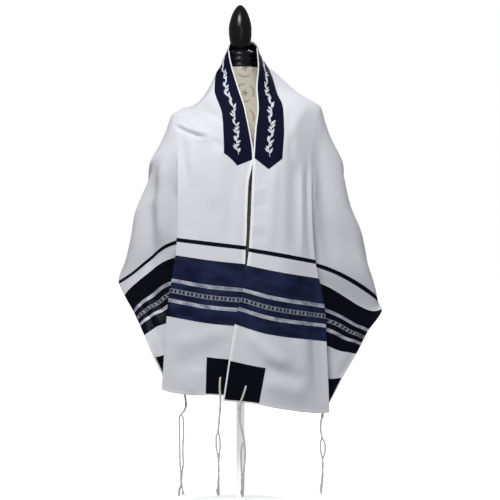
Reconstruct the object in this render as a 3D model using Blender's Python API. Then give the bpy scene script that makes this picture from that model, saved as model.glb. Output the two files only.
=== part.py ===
"""A tallit prayer shawl draped on a limbless dress form, in metres, +Z up, front towards -Y.

The cloth is one rectangle. A place on it is given by the cut: `along`, from the left short hem
over the neck to the right short hem, and `across`, from the long top edge, which carries the
neck band, to the long lower edge. Five guide lines run along the cloth: the top edge, the neck
band's outer edge, the front fold, the side turn and the lower edge. Each has a short table of
sections. A rib goes from the top edge to the lower edge through the guides, with a Z pleat
behind the front fold, and the flared folds of the back are added to the ribs.
The origin is on the pole's axis, at the underside of the base.
"""

import math

import bmesh
import bpy
import numpy as np

MM = 0.001

# The cut of the cloth, in millimetres.
CLOTH_LONG = 2030.0
CLOTH_WIDE = 508.0
MIDDLE = CLOTH_LONG / 2
WALL = 1.5
TRIM_GAP = 0.3
TRIM_THICK = 0.6
RIBBON_THICK = 0.5

# Where the trims lie, measured from each short hem.
SQUARE_FROM, SQUARE_TO = 4.0, 95.0
BAND_FROM, BAND_TO = 184.0, 347.0
STRIPE_FROM, STRIPE_TO = 384.0, 394.0
RIBBONS = {
    "silver_ribbon_lower": (221.0, 231.0),
    "figured_ribbon": (246.0, 258.0),
    "silver_ribbon_upper": (274.0, 284.0),
}
# The neck band: its ends' points and corners from the short hem, and its width across the cloth.
ATARAH_TIP, ATARAH_CORNER = 586.0, 613.0
ATARAH_FROM, ATARAH_MIDDLE, ATARAH_TO = 4.0, 42.0, 80.0

# The guides' x and z are as seen in the plane of the pole from the front, level, from this place:
# what is nearer looks larger there by the distance's share, which is taken out again.
SEEN_X, SEEN_Z, SEEN_FROM = 24.7, 665.6, 4800.0

# Guide lines. Each row is one section of the cloth, from the left hem to the right hem.
TOP_EDGE = """
along     x     y     z
    0     1  -122   283
  184     7  -124   467
  394    14  -126   676
  618    32  -122   905
  739    14  -100  1027
  800    -3   -78  1082
  860   -20   -60  1136
  906   -33   -45  1178
  945   -45    -5  1184
  980   -34    33  1203
 1015     0    50  1211
 1050    33    34  1206
 1085    45     3  1194
 1115    43   -25  1188
 1162    46   -48  1146
 1225    41   -75  1089
 1284    44  -100  1035
 1338    38  -115   983
 1412    33  -124   910
 1636    22  -130   671
 1751     5  -133   562
 1846   -15  -134   473
 2030   -46  -134   273
"""
NECK_BAND_EDGE = """
along     x     y     z
    0   -76  -120   291
  394   -63  -124   685
  618   -43  -118   922
  700   -45  -108   985
  745   -48   -97  1020
  800   -67   -68  1080
  860   -64   -22  1117
  906   -55    15  1134
  955   -42    52  1136
 1015     0    80  1139
 1075    42    56  1139
 1115    61    20  1148
 1162    80    -5  1117
 1225    94   -43  1073
 1284   110   -86  1034
 1340   113  -108   978
 1412   109  -119   909
 1636   100  -124   658
 2030    33  -134   268
"""
FRONT_FOLD = """
along across     x     y     z
    0    213  -204  -104   305
  184    199  -191  -106   494
  394    186  -165  -108   697
  520    190  -163  -104   820
  640    196  -163   -80   925
  785    202  -181   -15  1011
  870    205  -150    62  1020
  935    208   -86   103  1010
 1015    210     0   118  1003
 1090    208    88   102  1012
 1160    203   160    60  1032
 1245    190   209   -15  1035
 1390    190   183   -70   890
 1510    190   186   -80   758
 1636    193   194   -70   640
 1751    231   217   -62   520
 1846    256   223   -60   428
 2030    286   231   -58   251
"""
SIDE_TURN = """
along across     x     y     z
    0    483  -160   -80   308
  184    471  -216   -59   452
  394    460  -292    22   607
  520    409  -277    20   745
  640    315  -222   -20   885
  715    321  -224    16   893
  785    325  -206    58   893
  860    335  -158    98   886
  930    345   -88   128   880
 1015    350     0   137   872
 1090    345    90   128   882
 1160    335   166    98   900
 1245    322   221    45   920
 1390    310   267     0   861
 1510    384   305    32   718
 1636    460   354    55   556
 1846    475   274   -20   402
 2030    489   208   -42   258
"""
LOWER_EDGE = """
along     x     y     z
    0  -188   -80   312
   95  -226   -76   386
  184  -250   -52   444
  279  -277   -12   504
  347  -301    25   548
  394  -316    50   585
  470  -300    84   630
  560  -245    92   664
  680  -185   110   712
  800  -120   126   728
  910   -60   136   728
 1015     0   138   722
 1120    62   136   728
 1230   130   134   727
 1350   205   128   708
 1470   275   120   655
 1560   328   112   590
 1636   356    92   530
 1683   368    58   511
 1751   336    24   459
 1846   305    -8   397
 1935   268   -25   335
 2030   227   -36   261
"""
# How far the hidden layer behind the front fold goes in.
PLEAT = """
along  depth
    0    155
   95    137
  184    110
  279     77
  394     42
  520     20
  640      8
  785      4
 1245      4
 1390      8
 1510     16
 1636     32
 1683     42
 1751     61
 1846     74
 1935     89
 2030    104
"""
# The flared folds that fall from the shoulders at the back: where each crest or hollow meets the
# lower edge, how much cloth it takes up, and how far it stands out there.
FLARES = """
along  takes  out
  560    110  -16
  660    140   30
  770    150  -34
  880    150   36
  990    150  -32
 1100    160   38
 1215    150  -34
 1330    140   34
 1440    130  -26
 1520    110   12
"""
FLARES_START = 150.0

# How far the shoulder sinks between the neck band's edge and the fold, and where that is deepest.
SHOULDER = """
along  sink
  620     0
  740    12
  800    30
  860    34
  935    26
 1015     6
 1090   -10
 1160   -14
 1225   -10
 1300     0
"""
SHOULDER_POWER = 0.8

# The Z pleat's turns, front fold first, and the straight run kept on each side of a turn.
FRONT_TURN, BACK_TURN, TURN_RUN = 5.0, 10.0, 4.0
FULL_PLEAT = 40.0
LEAST_PLEAT = 0.6
OPEN_BACK, OPEN_FADE = 310.0, 190.0
NO_PLEAT = 5.0
HIDDEN_SLOPE, HIDDEN_BACK = -0.08, 0.05
RIGHT_HIDDEN_SLOPE, RIGHT_HIDDEN_BACK = 0.05, -0.25

# How the side wings sway between the pleat and the lower edge: an arch and a wave, upwards.
WING_ARCH, WING_WAVE, WING_HOLLOW = 5.0, 8.0, 12.0
RIGHT_WING_ARCH, RIGHT_WING_WAVE, RIGHT_WING_HOLLOW = 0.0, 5.0, 8.0
WING_ENDS = 640.0

# The dress form.
TORSO_FACETS = 28
TORSO_ROUNDNESS = 2.3
TORSO = """
   z   wide  deep
 560     138    84
 640     134    82
 740     120    78
 830     130    88
 910     150    98
 970     158    98
1005     144    90
1035     114    76
1060      90    64
1085      67    56
1110    54.5    51
1138    47.3  47.3
"""
NECK_CAP = ((0, 1138.3), (41, 1138.3), (41, 1146), (39, 1149), (41, 1152), (41.6, 1161), (38, 1165),
            (39, 1168), (39, 1174), (36, 1180), (26, 1185), (13, 1187), (0, 1187))
FINIAL = ((0, 1187.3), (12, 1187.3), (15, 1190), (21, 1198), (27, 1212), (30, 1228), (30.5, 1240),
          (28.5, 1256), (24, 1272), (18, 1286), (10, 1297), (4, 1302), (0, 1303))
ROUND_FACETS = 20
POLE_RADIUS = 9.0
POLE_FACETS = 16
BASE_RADIUS, BASE_HIGH, BASE_RIM = 140.0, 12.0, 4.0
BASE_FACETS = 40

# The tassels: from the hole a thin twisted cord goes down to a knot, then loose strands.
STRANDS = 8
STRAND_SIDES = 3
STRAND_RADIUS = 0.8
STRAND_RING = 2.3
STRAND_SPREAD = 5.5
STRAND_STEPS = 5
STRANDS_END = 36.0
CORD_RADIUS, KNOT_RADIUS, CORD_LONG = 2.4, 3.8, 92.0
CORD_RADII = (1.8, KNOT_RADIUS, CORD_RADIUS, CORD_RADIUS, CORD_RADIUS, CORD_RADIUS, CORD_RADIUS,
              CORD_RADIUS, KNOT_RADIUS, KNOT_RADIUS, CORD_RADIUS)
CORD_DOWN = (0.0, 0.04, 0.10, 0.2, 0.3, 0.4, 0.5, 0.88, 0.92, 0.96, 1.0)
CORD_SEAT = 0.6
CORD_OFF = 9.0
CORD_REACH = 12.0
CORD_SIDES = 6
TASSELS = {
    "tzitzit_front_left": {"side": "left", "across": 49.5, "lean": -7.0, "phase": 0.4},
    "tzitzit_back_left": {"side": "left", "across": 458.5, "lean": -9.0, "phase": 1.9},
    "tzitzit_front_right": {"side": "right", "across": 49.5, "lean": -9.0, "phase": 3.1},
    "tzitzit_back_right": {"side": "right", "across": 458.5, "lean": -4.0, "phase": 4.6},
}

COLOURS = {
    "white_cloth": ((0.80, 0.81, 0.84), 0.75, 0.0),
    "navy_satin": ((0.012, 0.016, 0.075), 0.38, 0.0),
    "silver_ribbon": ((0.42, 0.42, 0.50), 0.35, 0.1),
    "figured_ribbon": ((0.30, 0.30, 0.38), 0.45, 0.0),
    "navy_velvet": ((0.008, 0.008, 0.045), 0.70, 0.0),
    "white_cord": ((0.82, 0.82, 0.80), 0.80, 0.0),
    "beige_jersey": ((0.52, 0.44, 0.34), 0.85, 0.0),
    "black_wood": ((0.008, 0.008, 0.009), 0.22, 0.0),
    "white_metal": ((0.78, 0.78, 0.78), 0.40, 0.0),
}


def table(text):
    """The columns of a table, by name."""
    head, *rows = [line.split() for line in text.strip().splitlines()]
    columns = np.array(rows, float).T
    return dict(zip(head, columns))


def curve_through(at, values, where):
    """A smooth curve through values (..., knots, n) at the rising places at (..., knots),
    read at where (..., places). Its slope at a knot is the weighted harmonic mean of the two
    slopes beside it, and level where they have opposite signs, so it never overshoots."""
    step = np.diff(at)[..., None]
    slope = np.diff(values, axis=-2) / step
    before, after = slope[..., :-1, :], slope[..., 1:, :]
    w1, w2 = 2 * step[..., 1:, :] + step[..., :-1, :], step[..., 1:, :] + 2 * step[..., :-1, :]
    same = before * after > 0
    b, a = np.where(same, before, 1), np.where(same, after, 1)
    middle = np.where(same, (w1 + w2) / (w1 / b + w2 / a), 0)
    tangent = np.concatenate([slope[..., :1, :], middle, slope[..., -1:, :]], axis=-2)
    low = (where[..., :, None] >= at[..., None, 1:-1]).sum(-1)
    span = [np.take_along_axis(at, low + k, -1)[..., None] for k in (0, 1)]
    value = [np.take_along_axis(values, (low + k)[..., None], -2) for k in (0, 1)]
    lean = [np.take_along_axis(tangent, (low + k)[..., None], -2) for k in (0, 1)]
    long = span[1] - span[0]
    t = (where[..., None] - span[0]) / long
    return (
        (1 + 2 * t) * (1 - t) ** 2 * value[0]
        + t * (1 - t) ** 2 * long * lean[0]
        + t * t * (3 - 2 * t) * value[1]
        + t * t * (t - 1) * long * lean[1]
    )


def guide(text, along, *columns):
    """The named columns of a guide's table, read at each place along the cloth."""
    rows = table(text)
    values = np.stack([rows[name] for name in columns], axis=-1)
    return curve_through(rows["along"], values, along)


def guide_line(text, along):
    """A guide's points. A point at depth y was seen in the pole's plane enlarged by
    far / (far + y) about the view's centre, so its x and z are drawn in by the same share."""
    rows = table(text)
    share = (SEEN_FROM + rows["y"]) / SEEN_FROM
    x = SEEN_X + (rows["x"] - SEEN_X) * share
    z = SEEN_Z + (rows["z"] - SEEN_Z) * share
    return curve_through(rows["along"], np.stack([x, rows["y"], z], axis=-1), along)


def smooth_step(t):
    t = np.clip(t, 0, 1)
    return t * t * (3 - 2 * t)


def unit(vectors):
    return vectors / np.linalg.norm(vectors, axis=-1, keepdims=True)


def unpleated(along):
    """From 0 where the pleat is folded to 1 where the cloth lies open over the back."""
    pleat = guide(PLEAT, along, "depth")[:, 0]
    return 1 - smooth_step((pleat - NO_PLEAT) / (FULL_PLEAT / 2 - NO_PLEAT))


def rib_knots(along):
    """Where each rib's knots are across the cloth (ribs, knots), and in space (ribs, knots, 3)."""
    top = guide_line(TOP_EDGE, along)
    band = guide_line(NECK_BAND_EDGE, along)
    fold = guide_line(FRONT_FOLD, along)
    fold_at = guide(FRONT_FOLD, along, "across")[:, 0]
    side = guide_line(SIDE_TURN, along)
    side_at = guide(SIDE_TURN, along, "across")[:, 0]
    low = guide_line(LOWER_EDGE, along)
    pleat = guide(PLEAT, along, "depth")[:, 0]
    inward = np.where(along < MIDDLE, 1.0, -1.0)
    full = np.clip(pleat / FULL_PLEAT, LEAST_PLEAT, 1)
    first, second = FRONT_TURN * full, BACK_TURN * full
    back = np.where(along < MIDDLE, HIDDEN_BACK, RIGHT_HIDDEN_BACK)
    rise = np.where(along < MIDDLE, HIDDEN_SLOPE, RIGHT_HIDDEN_SLOPE)
    hidden = unit(np.stack([inward, back, rise], axis=-1))
    behind = np.zeros((len(along), 3))
    behind[:, 1] = 1.0
    lead = fold + (band - fold) * (TURN_RUN / (fold_at - ATARAH_TO))[:, None]
    turned = fold + behind * first[:, None]
    inner = turned + hidden * pleat[:, None]
    start = inner + behind * second[:, None]
    run = start + unit(side - start) * TURN_RUN
    near, far = (turned + hidden * (pleat * part)[:, None] for part in (0.25, 0.75))
    inner_at = fold_at + first + pleat
    start_at = inner_at + second
    across = np.stack(
        [
            np.zeros_like(along),
            np.full_like(along, ATARAH_TO),
            fold_at - TURN_RUN,
            fold_at,
            fold_at + first,
            fold_at + first + pleat * 0.25,
            fold_at + first + pleat * 0.75,
            inner_at,
            start_at,
            start_at + TURN_RUN,
            side_at,
            np.full_like(along, CLOTH_WIDE),
        ],
        axis=-1,
    )
    points = np.stack([top, band, lead, fold, turned, near, far, inner, start, run, side, low], axis=1)
    kept = [0, 1, 3, 10, 11]
    level = curve_through(across[:, kept], points[:, kept], across)
    return across, points + (level - points) * unpleated(along)[:, None, None]


def flare(along, across):
    """How far the flared folds stand out: at the lower edge a sum of cosine bumps, one a row of
    the table, growing as 10 t^3 - 15 t^4 + 6 t^5 from nothing where the folds start."""
    rows = table(FLARES)
    away = np.abs(along[..., None] - rows["along"]) / rows["takes"]
    bumps = (rows["out"] * np.cos(np.pi * np.clip(away, 0, 0.5)) ** 2).sum(-1)
    t = np.clip((across - FLARES_START) / (CLOTH_WIDE - FLARES_START), 0, 1)
    return bumps * t**3 * (10 - 15 * t + 6 * t**2)


def shoulder_sink(along, across, fold_at):
    """How far the shoulder sinks: a squared half sine between the neck band's edge and the fold."""
    sink = guide(SHOULDER, np.clip(along, 620, 1300), "sink")
    t = np.clip((across - ATARAH_TO) / (fold_at - ATARAH_TO)[:, None], 0, 1)
    return sink * np.sin(np.pi * t**SHOULDER_POWER) ** 2


def wing_sway(along, across, start):
    """How a wing leaves its straight line, back and up: a hollow and an arch (half a sine) with a
    wave (a whole sine) from the pleat's end to the lower edge, fading out up the cloth."""
    left = along < MIDDLE
    from_hem = np.minimum(along, CLOTH_LONG - along)
    t = np.clip((across - start[:, None]) / (CLOTH_WIDE - start)[:, None], 0, 1)
    fade = (1 - smooth_step((from_hem - STRIPE_TO) / (WING_ENDS - STRIPE_TO)))[:, None]
    arch = np.where(left, WING_ARCH, RIGHT_WING_ARCH)[:, None]
    wave = np.where(left, WING_WAVE, RIGHT_WING_WAVE)[:, None]
    hollow = np.where(left, WING_HOLLOW, RIGHT_WING_HOLLOW)[:, None]
    wide = smooth_step((CLOTH_WIDE - start) / 200)[:, None] * fade
    back = hollow * np.sin(np.pi * t) ** 2 * wide
    up = (arch * np.sin(np.pi * t) + wave * np.sin(2 * np.pi * t)) * wide
    return np.stack([np.zeros_like(up), back, up], axis=-1)


def drape(along, across):
    """Points of the cloth's middle surface in millimetres, for ribs at `along` (ribs,) read at
    `across` (ribs, places)."""
    at, knots = rib_knots(along)
    points = curve_through(at, knots, across) + wing_sway(along, across, at[:, 9])
    points[..., 2] -= shoulder_sink(along, across, at[:, 3])
    outward = unit(points * np.array([1.0, 1.0, 0.0]))
    spread = np.broadcast_to(along[:, None], across.shape)
    return points + outward * flare(spread, across)[..., None]


def columns_of(along):
    """The places across the cloth that the solid's mesh uses on each rib: the trims' edges, the
    turns of the pleat, and a few between."""
    at, _ = rib_knots(along)
    fold, turned, near, far, inner, start, run, side = (at[:, k] for k in range(3, 11))
    edge = np.full_like(along, SQUARE_TO)
    lead = at[:, 2]
    from_hem = np.minimum(along, CLOTH_LONG - along)
    square = 1 - smooth_step((from_hem - SQUARE_TO) / (BAND_FROM - SQUARE_TO))
    last = CLOTH_WIDE - SQUARE_FROM
    free = [run + (side - run) * part for part in (0.25, 0.5, 0.75)]
    free += [side, (side + last) / 2]
    first = CLOTH_WIDE - SQUARE_TO
    held = [first + (last - first) * k / 5 for k in range(5)]
    wing = [square * h + (1 - square) * f for h, f in zip(held, free)]
    fixed = [np.full_like(along, v) for v in (0.0, ATARAH_FROM, ATARAH_MIDDLE, ATARAH_TO)]
    panel = [edge, edge + (lead - edge) / 2, lead, fold, (fold + turned) / 2, turned, near, far]
    turn = [inner, (inner + start) / 2, start, run]
    ends = [np.full_like(along, last), np.full_like(along, CLOTH_WIDE)]
    moving = np.stack(panel + turn + wing, axis=-1)
    even = np.linspace(SQUARE_TO, last, moving.shape[1] + 1)[:-1]
    open_share = smooth_step((OPEN_BACK - np.abs(along - MIDDLE)) / OPEN_FADE)[:, None]
    moving = moving + (even - moving) * open_share
    return np.concatenate([np.stack(fixed, -1), moving, np.stack(ends, -1)], axis=-1)


def rows_of():
    """The places along the cloth that the solid's mesh uses: the trims' edges and even steps."""
    trims = [0, SQUARE_FROM, (SQUARE_FROM + SQUARE_TO) / 2, SQUARE_TO, 140, BAND_FROM]
    trims += [edge for pair in RIBBONS.values() for edge in pair]
    trims += [315, BAND_TO, STRIPE_FROM, STRIPE_TO]
    upper = list(np.linspace(STRIPE_TO, ATARAH_TIP, 8)[1:]) + [ATARAH_CORNER]
    upper += list(np.linspace(ATARAH_CORNER, MIDDLE, 15)[1:])
    half = np.array(trims + upper, float)
    return np.concatenate([half, CLOTH_LONG - half[-2::-1]])


def normals_of(points):
    """Unit normals of a grid of points, towards the cloth's outer face. The tangent at a point is
    the sum of the unit steps before and after it, so a turn's normal halves its corner."""
    tangents = []
    for axis in (0, 1):
        step = unit(np.diff(points, axis=axis))
        ends = [(1, 0) if k == axis else (0, 0) for k in range(3)]
        tangents.append(np.pad(step, ends) + np.pad(step, [pair[::-1] for pair in ends]))
    return unit(np.cross(*tangents))


def material(name):
    found = bpy.data.materials.get(name)
    if found:
        return found
    colour, roughness, metallic = COLOURS[name]
    made = bpy.data.materials.new(name)
    made.use_nodes = True
    shader = made.node_tree.nodes["Principled BSDF"]
    shader.inputs["Base Color"].default_value = (*colour, 1.0)
    shader.inputs["Roughness"].default_value = roughness
    shader.inputs["Metallic"].default_value = metallic
    return made


def add_object(name, mesh, finish):
    mesh.materials.append(material(finish))
    obj = bpy.data.objects.new(name, mesh)
    bpy.context.scene.collection.objects.link(obj)
    return obj


def sheet(name, points, normals, low, high, finish):
    """A closed sheet between two offsets of a grid of points, in millimetres."""
    rows, columns = points.shape[:2]
    bottom = (points + normals * low).reshape(-1, 3)
    top = (points + normals * high).reshape(-1, 3)
    count = rows * columns
    index = np.arange(count).reshape(rows, columns)
    here, down, right, far = index[:-1, :-1], index[1:, :-1], index[:-1, 1:], index[1:, 1:]
    skin = np.concatenate([np.stack([here, down, far], -1), np.stack([here, far, right], -1)])
    skin = skin.reshape(-1, 3)
    rim = np.concatenate([index[0, :-1], index[:-1, -1], index[-1, :0:-1], index[:0:-1, 0]])
    beside = np.roll(rim, -1)
    walls = [np.stack([rim, beside, beside + count], -1), np.stack([rim, beside + count, rim + count], -1)]
    faces = np.concatenate([skin + count, skin[:, ::-1], *walls])
    mesh = bpy.data.meshes.new(name)
    mesh.from_pydata((np.concatenate([bottom, top]) * MM).tolist(), [], faces.tolist())
    work = bmesh.new()
    work.from_mesh(mesh)
    bmesh.ops.remove_doubles(work, verts=work.verts, dist=1e-6)
    bmesh.ops.recalc_face_normals(work, faces=work.faces)
    work.to_mesh(mesh)
    work.free()
    return add_object(name, mesh, finish)


def turned(name, profile, facets, finish):
    """A closed body turned round the pole's axis from (radius, height) rows."""
    work = bmesh.new()
    angles = np.linspace(0, 2 * math.pi, facets, endpoint=False)
    rings = []
    for radius, height in profile:
        if radius == 0:
            rings.append([work.verts.new((0, 0, height * MM))])
            continue
        ring = np.stack([np.cos(angles) * radius, np.sin(angles) * radius], -1) * MM
        rings.append([work.verts.new((x, y, height * MM)) for x, y in ring])
    join_rings(work, rings)
    return finish_body(name, work, finish)


def join_rings(work, rings):
    for low, high in zip(rings, rings[1:]):
        facets = max(len(low), len(high))
        for k in range(facets):
            n = (k + 1) % facets
            corners = [low[k % len(low)], low[n % len(low)], high[n % len(high)], high[k % len(high)]]
            work.faces.new(list(dict.fromkeys(corners)))


def finish_body(name, work, finish):
    mesh = bpy.data.meshes.new(name)
    bmesh.ops.recalc_face_normals(work, faces=work.faces)
    work.to_mesh(mesh)
    work.free()
    mesh.shade_smooth()
    mesh.set_sharp_from_angle(angle=math.radians(40))
    return add_object(name, mesh, finish)


def add_torso():
    """A smooth torso with no limbs: a rounded section at each height of the table."""
    rows = table(TORSO)
    angles = np.linspace(0, 2 * math.pi, TORSO_FACETS, endpoint=False)
    work = bmesh.new()
    rings = []
    for z, wide, deep in zip(rows["z"], rows["wide"], rows["deep"]):
        power = 2 / TORSO_ROUNDNESS
        x = np.sign(np.cos(angles)) * np.abs(np.cos(angles)) ** power * wide
        y = np.sign(np.sin(angles)) * np.abs(np.sin(angles)) ** power * deep
        rings.append([work.verts.new((px * MM, py * MM, z * MM)) for px, py in zip(x, y)])
    join_rings(work, rings)
    work.faces.new(rings[0][::-1])
    work.faces.new(rings[-1])
    return finish_body("form_torso", work, "beige_jersey")


def add_form():
    add_torso()
    turned("form_neck_cap", NECK_CAP, ROUND_FACETS, "black_wood")
    turned("form_finial", FINIAL, ROUND_FACETS, "black_wood")
    low, high = BASE_HIGH + TRIM_GAP, table(TORSO)["z"][0] - TRIM_GAP
    pole = ((0, low), (POLE_RADIUS, low), (POLE_RADIUS, high), (0, high))
    turned("form_pole", pole, POLE_FACETS, "white_metal")
    base = ((0, 0), (BASE_RADIUS, 0), (BASE_RADIUS, BASE_HIGH - BASE_RIM),
            (BASE_RADIUS - BASE_RIM, BASE_HIGH), (0, BASE_HIGH))
    turned("form_base", base, BASE_FACETS, "white_metal")


def add_cloth(rows, points, normals):
    """The shawl, then each trim from the same points, moved out."""
    half = WALL / 2
    sheet("shawl_body", points, normals, -half, half, "white_cloth")
    low = half + TRIM_GAP
    high = low + TRIM_THICK
    ribbon_low = high + TRIM_GAP
    ribbon_high = ribbon_low + RIBBON_THICK
    columns = points.shape[1]
    for side in ("left", "right"):
        place = rows if side == "left" else CLOTH_LONG - rows

        def strip(name, start, stop, first, last, offsets, finish):
            chosen = np.flatnonzero((place >= start - 0.01) & (place <= stop + 0.01))
            part = np.s_[chosen[0] : chosen[-1] + 1, first : last + 1]
            sheet(f"{name}_{side}", points[part], normals[part], *offsets, finish)

        across = (1, columns - 2)
        strip("narrow_stripe", STRIPE_FROM, STRIPE_TO, *across, (low, high), "navy_satin")
        strip("satin_band", BAND_FROM, BAND_TO, *across, (low, high), "navy_satin")
        for name, (start, stop) in RIBBONS.items():
            finish = "figured_ribbon" if name == "figured_ribbon" else "silver_ribbon"
            strip(name, start, stop, *across, (ribbon_low, ribbon_high), finish)
        square = (SQUARE_FROM, SQUARE_TO)
        strip("corner_square_front", *square, 1, 4, (low, high), "navy_velvet")
        strip("corner_square_back", *square, columns - 7, columns - 2, (low, high), "navy_velvet")
    add_atarah(rows, points, normals, low, high)


def add_atarah(rows, points, normals, low, high):
    """The neck band, whose end rows shrink to a point."""
    chosen = np.flatnonzero((rows > ATARAH_TIP - 0.01) & (rows < CLOTH_LONG - ATARAH_TIP + 0.01))
    part = np.s_[chosen[0] : chosen[-1] + 1, 1:4]
    band, out = points[part].copy(), normals[part].copy()
    for end in (0, -1):
        band[end] = band[end, 1]
        out[end] = out[end, 1]
    sheet("atarah", band, out, low, high, "navy_velvet")


def tube(work, centres, radii, sides, turn=0.0):
    """A closed tube of level rings, one for each centre, from the top down."""
    angles = np.linspace(0, 2 * math.pi, sides, endpoint=False) + turn
    rings = []
    for centre, radius in zip(centres, radii):
        x, y = centre[0] + np.cos(angles) * radius, centre[1] + np.sin(angles) * radius
        rings.append([work.verts.new((px * MM, py * MM, centre[2] * MM)) for px, py in zip(x, y)])
    join_rings(work, rings)
    work.faces.new(rings[0])
    work.faces.new(rings[-1][::-1])


def add_tassel(name, side, across, lean, phase):
    """Its cord hangs in front of the square from the hole, and its strands from the cord's knot."""
    along = (SQUARE_FROM + SQUARE_TO) / 2 + np.array([-1.0, 0.0, 1.0])
    along = along if side == "left" else CLOTH_LONG - along[::-1]
    near = drape(along, np.broadcast_to(across + np.array([-1.0, 0.0, 1.0]), (3, 3)))
    outward = normals_of(near)[1, 1]
    radii, down = np.array(CORD_RADII), np.array(CORD_DOWN)[:, None]
    face = WALL / 2 + TRIM_GAP + TRIM_THICK
    start = near[1, 1] + outward * (face + CORD_SEAT + radii[0])
    knot = near[1, 1] + outward * CORD_OFF + np.array([lean * 0.4, 0.0, -CORD_LONG])
    centres = start + (knot - start) * down
    hem_at = 0.0 if side == "left" else CLOTH_LONG
    below = np.linspace(hem_at, along[1], 13)
    beside = np.broadcast_to(across + np.linspace(-1.5, 1.5, 13) * CORD_REACH, (13, 13))
    patch = drape(below, beside).reshape(-1, 3)
    away = np.abs(centres[:, None] - patch)
    close = (away[..., 0] < radii[:, None] + CORD_REACH / 3) & (away[..., 2] < CORD_REACH)
    front = np.where(close, patch[:, 1], centres[-1, 1] + CORD_OFF).min(1)
    centres[1:, 1] = np.minimum(centres[:, 1], front - face - TRIM_GAP - radii)[1:]
    centres[:, 1] = np.concatenate([centres[:1, 1], np.minimum.accumulate(centres[1:, 1])])
    knot = centres[-1]
    work = bmesh.new()
    tube(work, centres, radii, CORD_SIDES)
    head = finish_body(name, work, "white_cord")
    work = bmesh.new()
    long = knot[2] - STRANDS_END
    for k in range(STRANDS):
        turn = 2 * math.pi * k / STRANDS
        t = np.linspace(0, 1, STRAND_STEPS + 1)
        wave = np.sin(phase + t * 5.0)
        ring = STRAND_RING + (STRAND_SPREAD - STRAND_RING) * np.sin(math.pi * t) ** 2
        x = knot[0] + np.cos(turn) * ring * (1 + 0.25 * (k % 2)) + (lean * 0.6) * t + 2.0 * t * wave
        y = knot[1] + np.sin(turn) * ring
        z = knot[2] + 3.0 - (long + 3.0 - 5.0 * (k % 3)) * t
        tube(work, np.stack([x, y, z], -1), np.full(len(t), STRAND_RADIUS), STRAND_SIDES, turn)
    strands = finish_body(name + "_strands", work, "white_cord")
    strands.hide_render = True
    strands.display_type = "WIRE"
    join = head.modifiers.new("strands", "BOOLEAN")
    join.operation = "UNION"
    join.solver = "EXACT"
    join.object = strands


def main():
    for obj in list(bpy.data.objects):
        bpy.data.objects.remove(obj, do_unlink=True)
    rows = rows_of()
    points = drape(rows, columns_of(rows))
    add_cloth(rows, points, normals_of(points))
    for name, settings in TASSELS.items():
        add_tassel(name, **settings)
    add_form()


main()
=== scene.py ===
"""The looks of a tallit prayer shawl on a limbless dress form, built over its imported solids.

All sizes in this script are real millimetres until a mesh is made. A place on the cloth is given by
its cut: `along`, from the left short hem over the neck to the right short hem, and `across`, from
the long top edge, which carries the neck band, to the long lower edge.
"""

# %% [markdown]
# # Tallit prayer shawl on a dress form
# The real thing is one woven rectangle, 508 by 2030 mm, with ribbons and satin bands sewn across
# both ends, a square patch and a tassel at each corner, and a stiff band along one long edge.
# It is worn lengthways over the shoulders, so every fold comes from one flat cut. The script keeps
# that order: first the drape as a function of the place on the cut, then the cloth and its trims as
# thin shells that read the same function, then tassels, form, finishes, light and camera.

# %% Setup: the imported solids
import math

import bpy
import numpy as np
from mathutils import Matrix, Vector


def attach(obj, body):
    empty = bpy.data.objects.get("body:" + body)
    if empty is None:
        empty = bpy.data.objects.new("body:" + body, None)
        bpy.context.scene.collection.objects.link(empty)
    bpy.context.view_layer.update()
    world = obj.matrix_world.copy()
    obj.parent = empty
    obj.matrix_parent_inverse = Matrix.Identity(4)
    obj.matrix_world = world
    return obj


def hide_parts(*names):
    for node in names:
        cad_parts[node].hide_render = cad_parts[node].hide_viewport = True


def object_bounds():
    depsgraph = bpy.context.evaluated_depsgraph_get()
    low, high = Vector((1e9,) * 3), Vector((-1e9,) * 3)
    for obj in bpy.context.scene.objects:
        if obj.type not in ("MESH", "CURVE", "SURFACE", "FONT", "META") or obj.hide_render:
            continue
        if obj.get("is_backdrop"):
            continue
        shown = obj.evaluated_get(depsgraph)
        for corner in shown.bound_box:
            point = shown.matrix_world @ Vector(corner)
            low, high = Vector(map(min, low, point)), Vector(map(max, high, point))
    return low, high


MM = 0.001
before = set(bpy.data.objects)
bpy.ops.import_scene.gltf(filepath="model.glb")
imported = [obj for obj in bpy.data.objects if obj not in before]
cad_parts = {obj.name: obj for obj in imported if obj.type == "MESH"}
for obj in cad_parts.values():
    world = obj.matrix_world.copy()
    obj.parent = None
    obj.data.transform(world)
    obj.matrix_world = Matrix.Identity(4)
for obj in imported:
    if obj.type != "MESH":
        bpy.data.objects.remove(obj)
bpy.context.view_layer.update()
fine = 1.0

# %% [markdown]
# ## The cut
# A tallit of this pattern is cut from 20 inch cloth, 80 inches long. The bands are measured from
# each short hem, as the sewer would mark them with chalk. The same cut shaped the solids, so the
# looks and the solids share one frame.

# %% The cut of the cloth and the places of its trims, in millimetres
CLOTH_LONG = 2030.0
CLOTH_WIDE = 508.0
MIDDLE = CLOTH_LONG / 2
WALL = 1.5
SQUARE_FROM, SQUARE_TO = 4.0, 95.0
BAND_FROM, BAND_TO = 184.0, 347.0
STRIPE_FROM, STRIPE_TO = 384.0, 394.0
SILVER_RIBBONS = {"lower": (221.0, 231.0), "upper": (274.0, 284.0)}
FIGURED_RIBBON = (246.0, 258.0)
ATARAH_TIP, ATARAH_CORNER = 586.0, 613.0
ATARAH_FROM, ATARAH_MIDDLE, ATARAH_TO = 4.0, 42.0, 80.0
CENTRE_HEM, SHORT_HEM = 8.0, 9.0
print("cloth:", CLOTH_WIDE, "x", CLOTH_LONG, "mm, area", CLOTH_WIDE * CLOTH_LONG / 1e6, "m2")

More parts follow.
